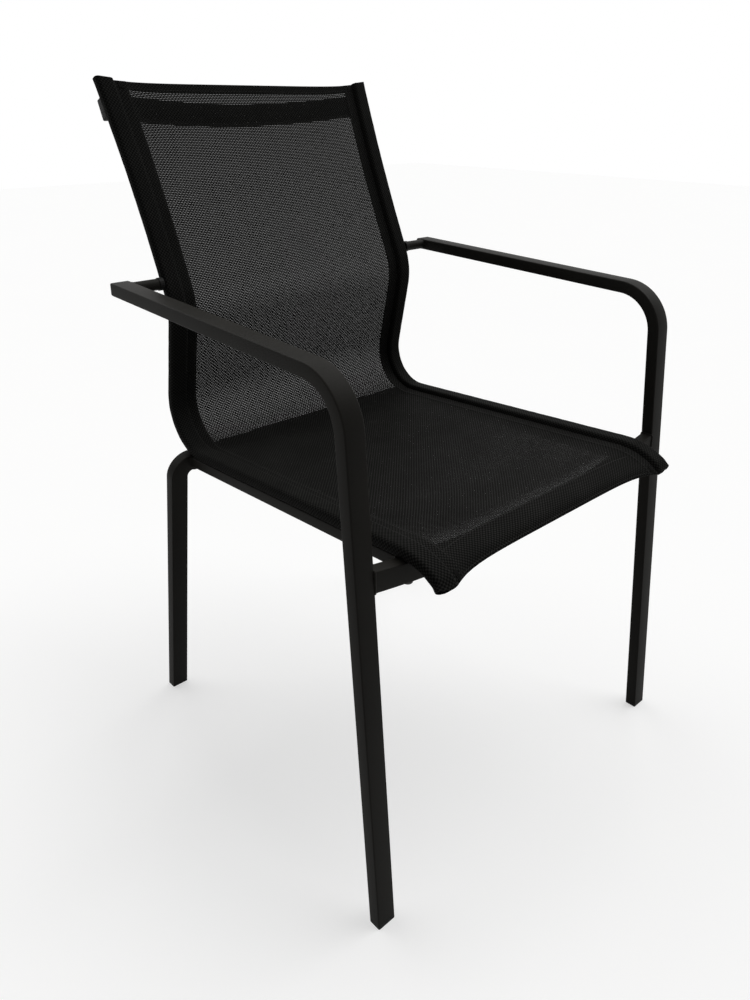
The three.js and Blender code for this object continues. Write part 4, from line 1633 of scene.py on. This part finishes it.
@dataclass(frozen=True)
class Lamp:
    """Soft even light from one direction."""

    name: str
    toward: tuple[float, float, float]
    softness: float
    strength: float

    def hang(self) -> None:
        """Adds it to the scene."""
        data = bpy.data.lights.new(self.name, "SUN")
        data.angle, data.energy = math.radians(self.softness), self.strength
        lamp = add_object(self.name, data)
        lamp.rotation_euler = Vector(self.toward).to_track_quat("Z", "Y").to_euler()


@dataclass
class Studio(Assembly):
    """The camera of the photograph, a pale floor and soft light."""

    eye: tuple[float, float, float] = (-713.275, -483.233 - MIDDLE, 885.5)
    yaw: float = 0.7527
    pitch: float = 0.3845
    roll: float = 0.0014
    lens: float = 28.956
    sensor: float = 36.0
    shift: Point2 = (-0.019645, -0.070507)
    clip: Point2 = (0.02, 60.0)
    fill: float = 0.06
    key_light: Lamp = Lamp("key_light", (0.6, -0.1, 1.0), softness=50.0, strength=1.8)
    rear_light: Lamp = Lamp("rear_light", (-0.1, 0.7, 0.9), softness=60.0, strength=1.1)
    floor_half: float = 9000.0
    floor_drop: float = 0.4

    def camera(self) -> None:
        """Sets the camera where the photograph was taken from."""
        yaw, pitch, roll = self.yaw, self.pitch, self.roll
        ahead = Vector(
            (math.sin(yaw) * math.cos(pitch), math.cos(yaw) * math.cos(pitch), -math.sin(pitch))
        )
        level = Vector((math.cos(yaw), -math.sin(yaw), 0))
        rise = level.cross(ahead)
        right = math.cos(roll) * level + math.sin(roll) * rise
        up = math.cos(roll) * rise - math.sin(roll) * level
        data = bpy.data.cameras.new("photo_camera")
        data.lens, data.sensor_width, data.sensor_fit = self.lens, self.sensor, "AUTO"
        data.shift_x, data.shift_y = self.shift
        data.clip_start, data.clip_end = self.clip
        camera = add_object("photo_camera", data)
        turned = Matrix((right, up, -ahead)).transposed().to_4x4()
        camera.matrix_world = Matrix.Translation(Vector(self.eye) * MM) @ turned
        bpy.context.scene.camera = camera

    def world(self) -> None:
        """Makes a world that is white to look at and lights the chair at a plain level."""
        recipe = Recipe("studio", bpy.data.worlds)
        values = {"Value": recipe.seen(), "To Min": self.fill, "To Max": 1.0}
        strength = recipe.node("MapRange", {}, values).outputs["Result"]
        back = recipe.node("Background", {}, {"Color": (1, 1, 1, 1), "Strength": strength})
        bpy.context.scene.world = recipe.finish(back.outputs[0], "OutputWorld")

    def floor(self) -> None:
        """Lays the floor."""
        ways = ((-1, -1), (1, -1), (1, 1), (-1, 1))
        corners = [Vector((x, y, 0)) * self.floor_half for x, y in ways]
        floor = self.shop.mesh("floor", corners, [(0, 1, 2, 3)], Ground().make())
        floor.location.z = -self.floor_drop * MM

    def build(self) -> None:
        """Sets up the whole studio."""
        bpy.context.scene.view_settings.view_transform = "Standard"
        self.camera()
        self.world()
        self.floor()
        self.key_light.hang()
        self.rear_light.hang()


def dress(frame: dict[str, Any], finishes: Finishes) -> None:
    """Gives the model's own pieces, where they stay, the finish of the real ones.

    Args:
        frame: the loaded frame.
        finishes: holds the materials.
    """
    plastic = ("arm_spacer", "front_spacer", "rear_spacer", "front_foot", "rear_foot", "rail_")
    zinc = ("arm_stud", "arm_block", "front_nut", "rear_nut", "top_nut")
    for name, node in frame["nodes"].items():
        found = finishes.coat
        if name.startswith(plastic):
            found = finishes.plastic
        elif name.startswith(zinc):
            found = finishes.zinc
        if not node.material_slots:
            node.data.materials.append(found)
        for place in node.material_slots:
            place.material = found


def main() -> None:
    """Builds the chair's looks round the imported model."""
    logging.basicConfig(level=logging.INFO, format="%(name)s %(message)s")
    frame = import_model()
    shop = Workshop()
    Studio(shop).build()
    dress(frame, shop.finishes)
    sling = Sling(shop)
    sling.build()
    sling.sew()
    rings: list[list[Vector]] = []
    for side in Side:
        leg = FrontLeg(shop, side)
        leg.build()
        rings += leg.weld_rings()
    RearFrame(shop).build()
    rings += FrontBar(shop).build()
    TopBar(shop).build()
    rings += SideTubes(shop).build()
    lines = path_mesh("weld_lines", rings, closed=True)
    beads = Beads(pitch=1.25, length=3.4, thick=3.4, segments=8, rings=6)
    shop.keep(beads.lay("weld_beads", lines, shop.finishes.coat), "powder_coat")
    Screws(shop).build()
    log.info("%d pieces made", len(shop.made))


if __name__ == "__main__":
    main()
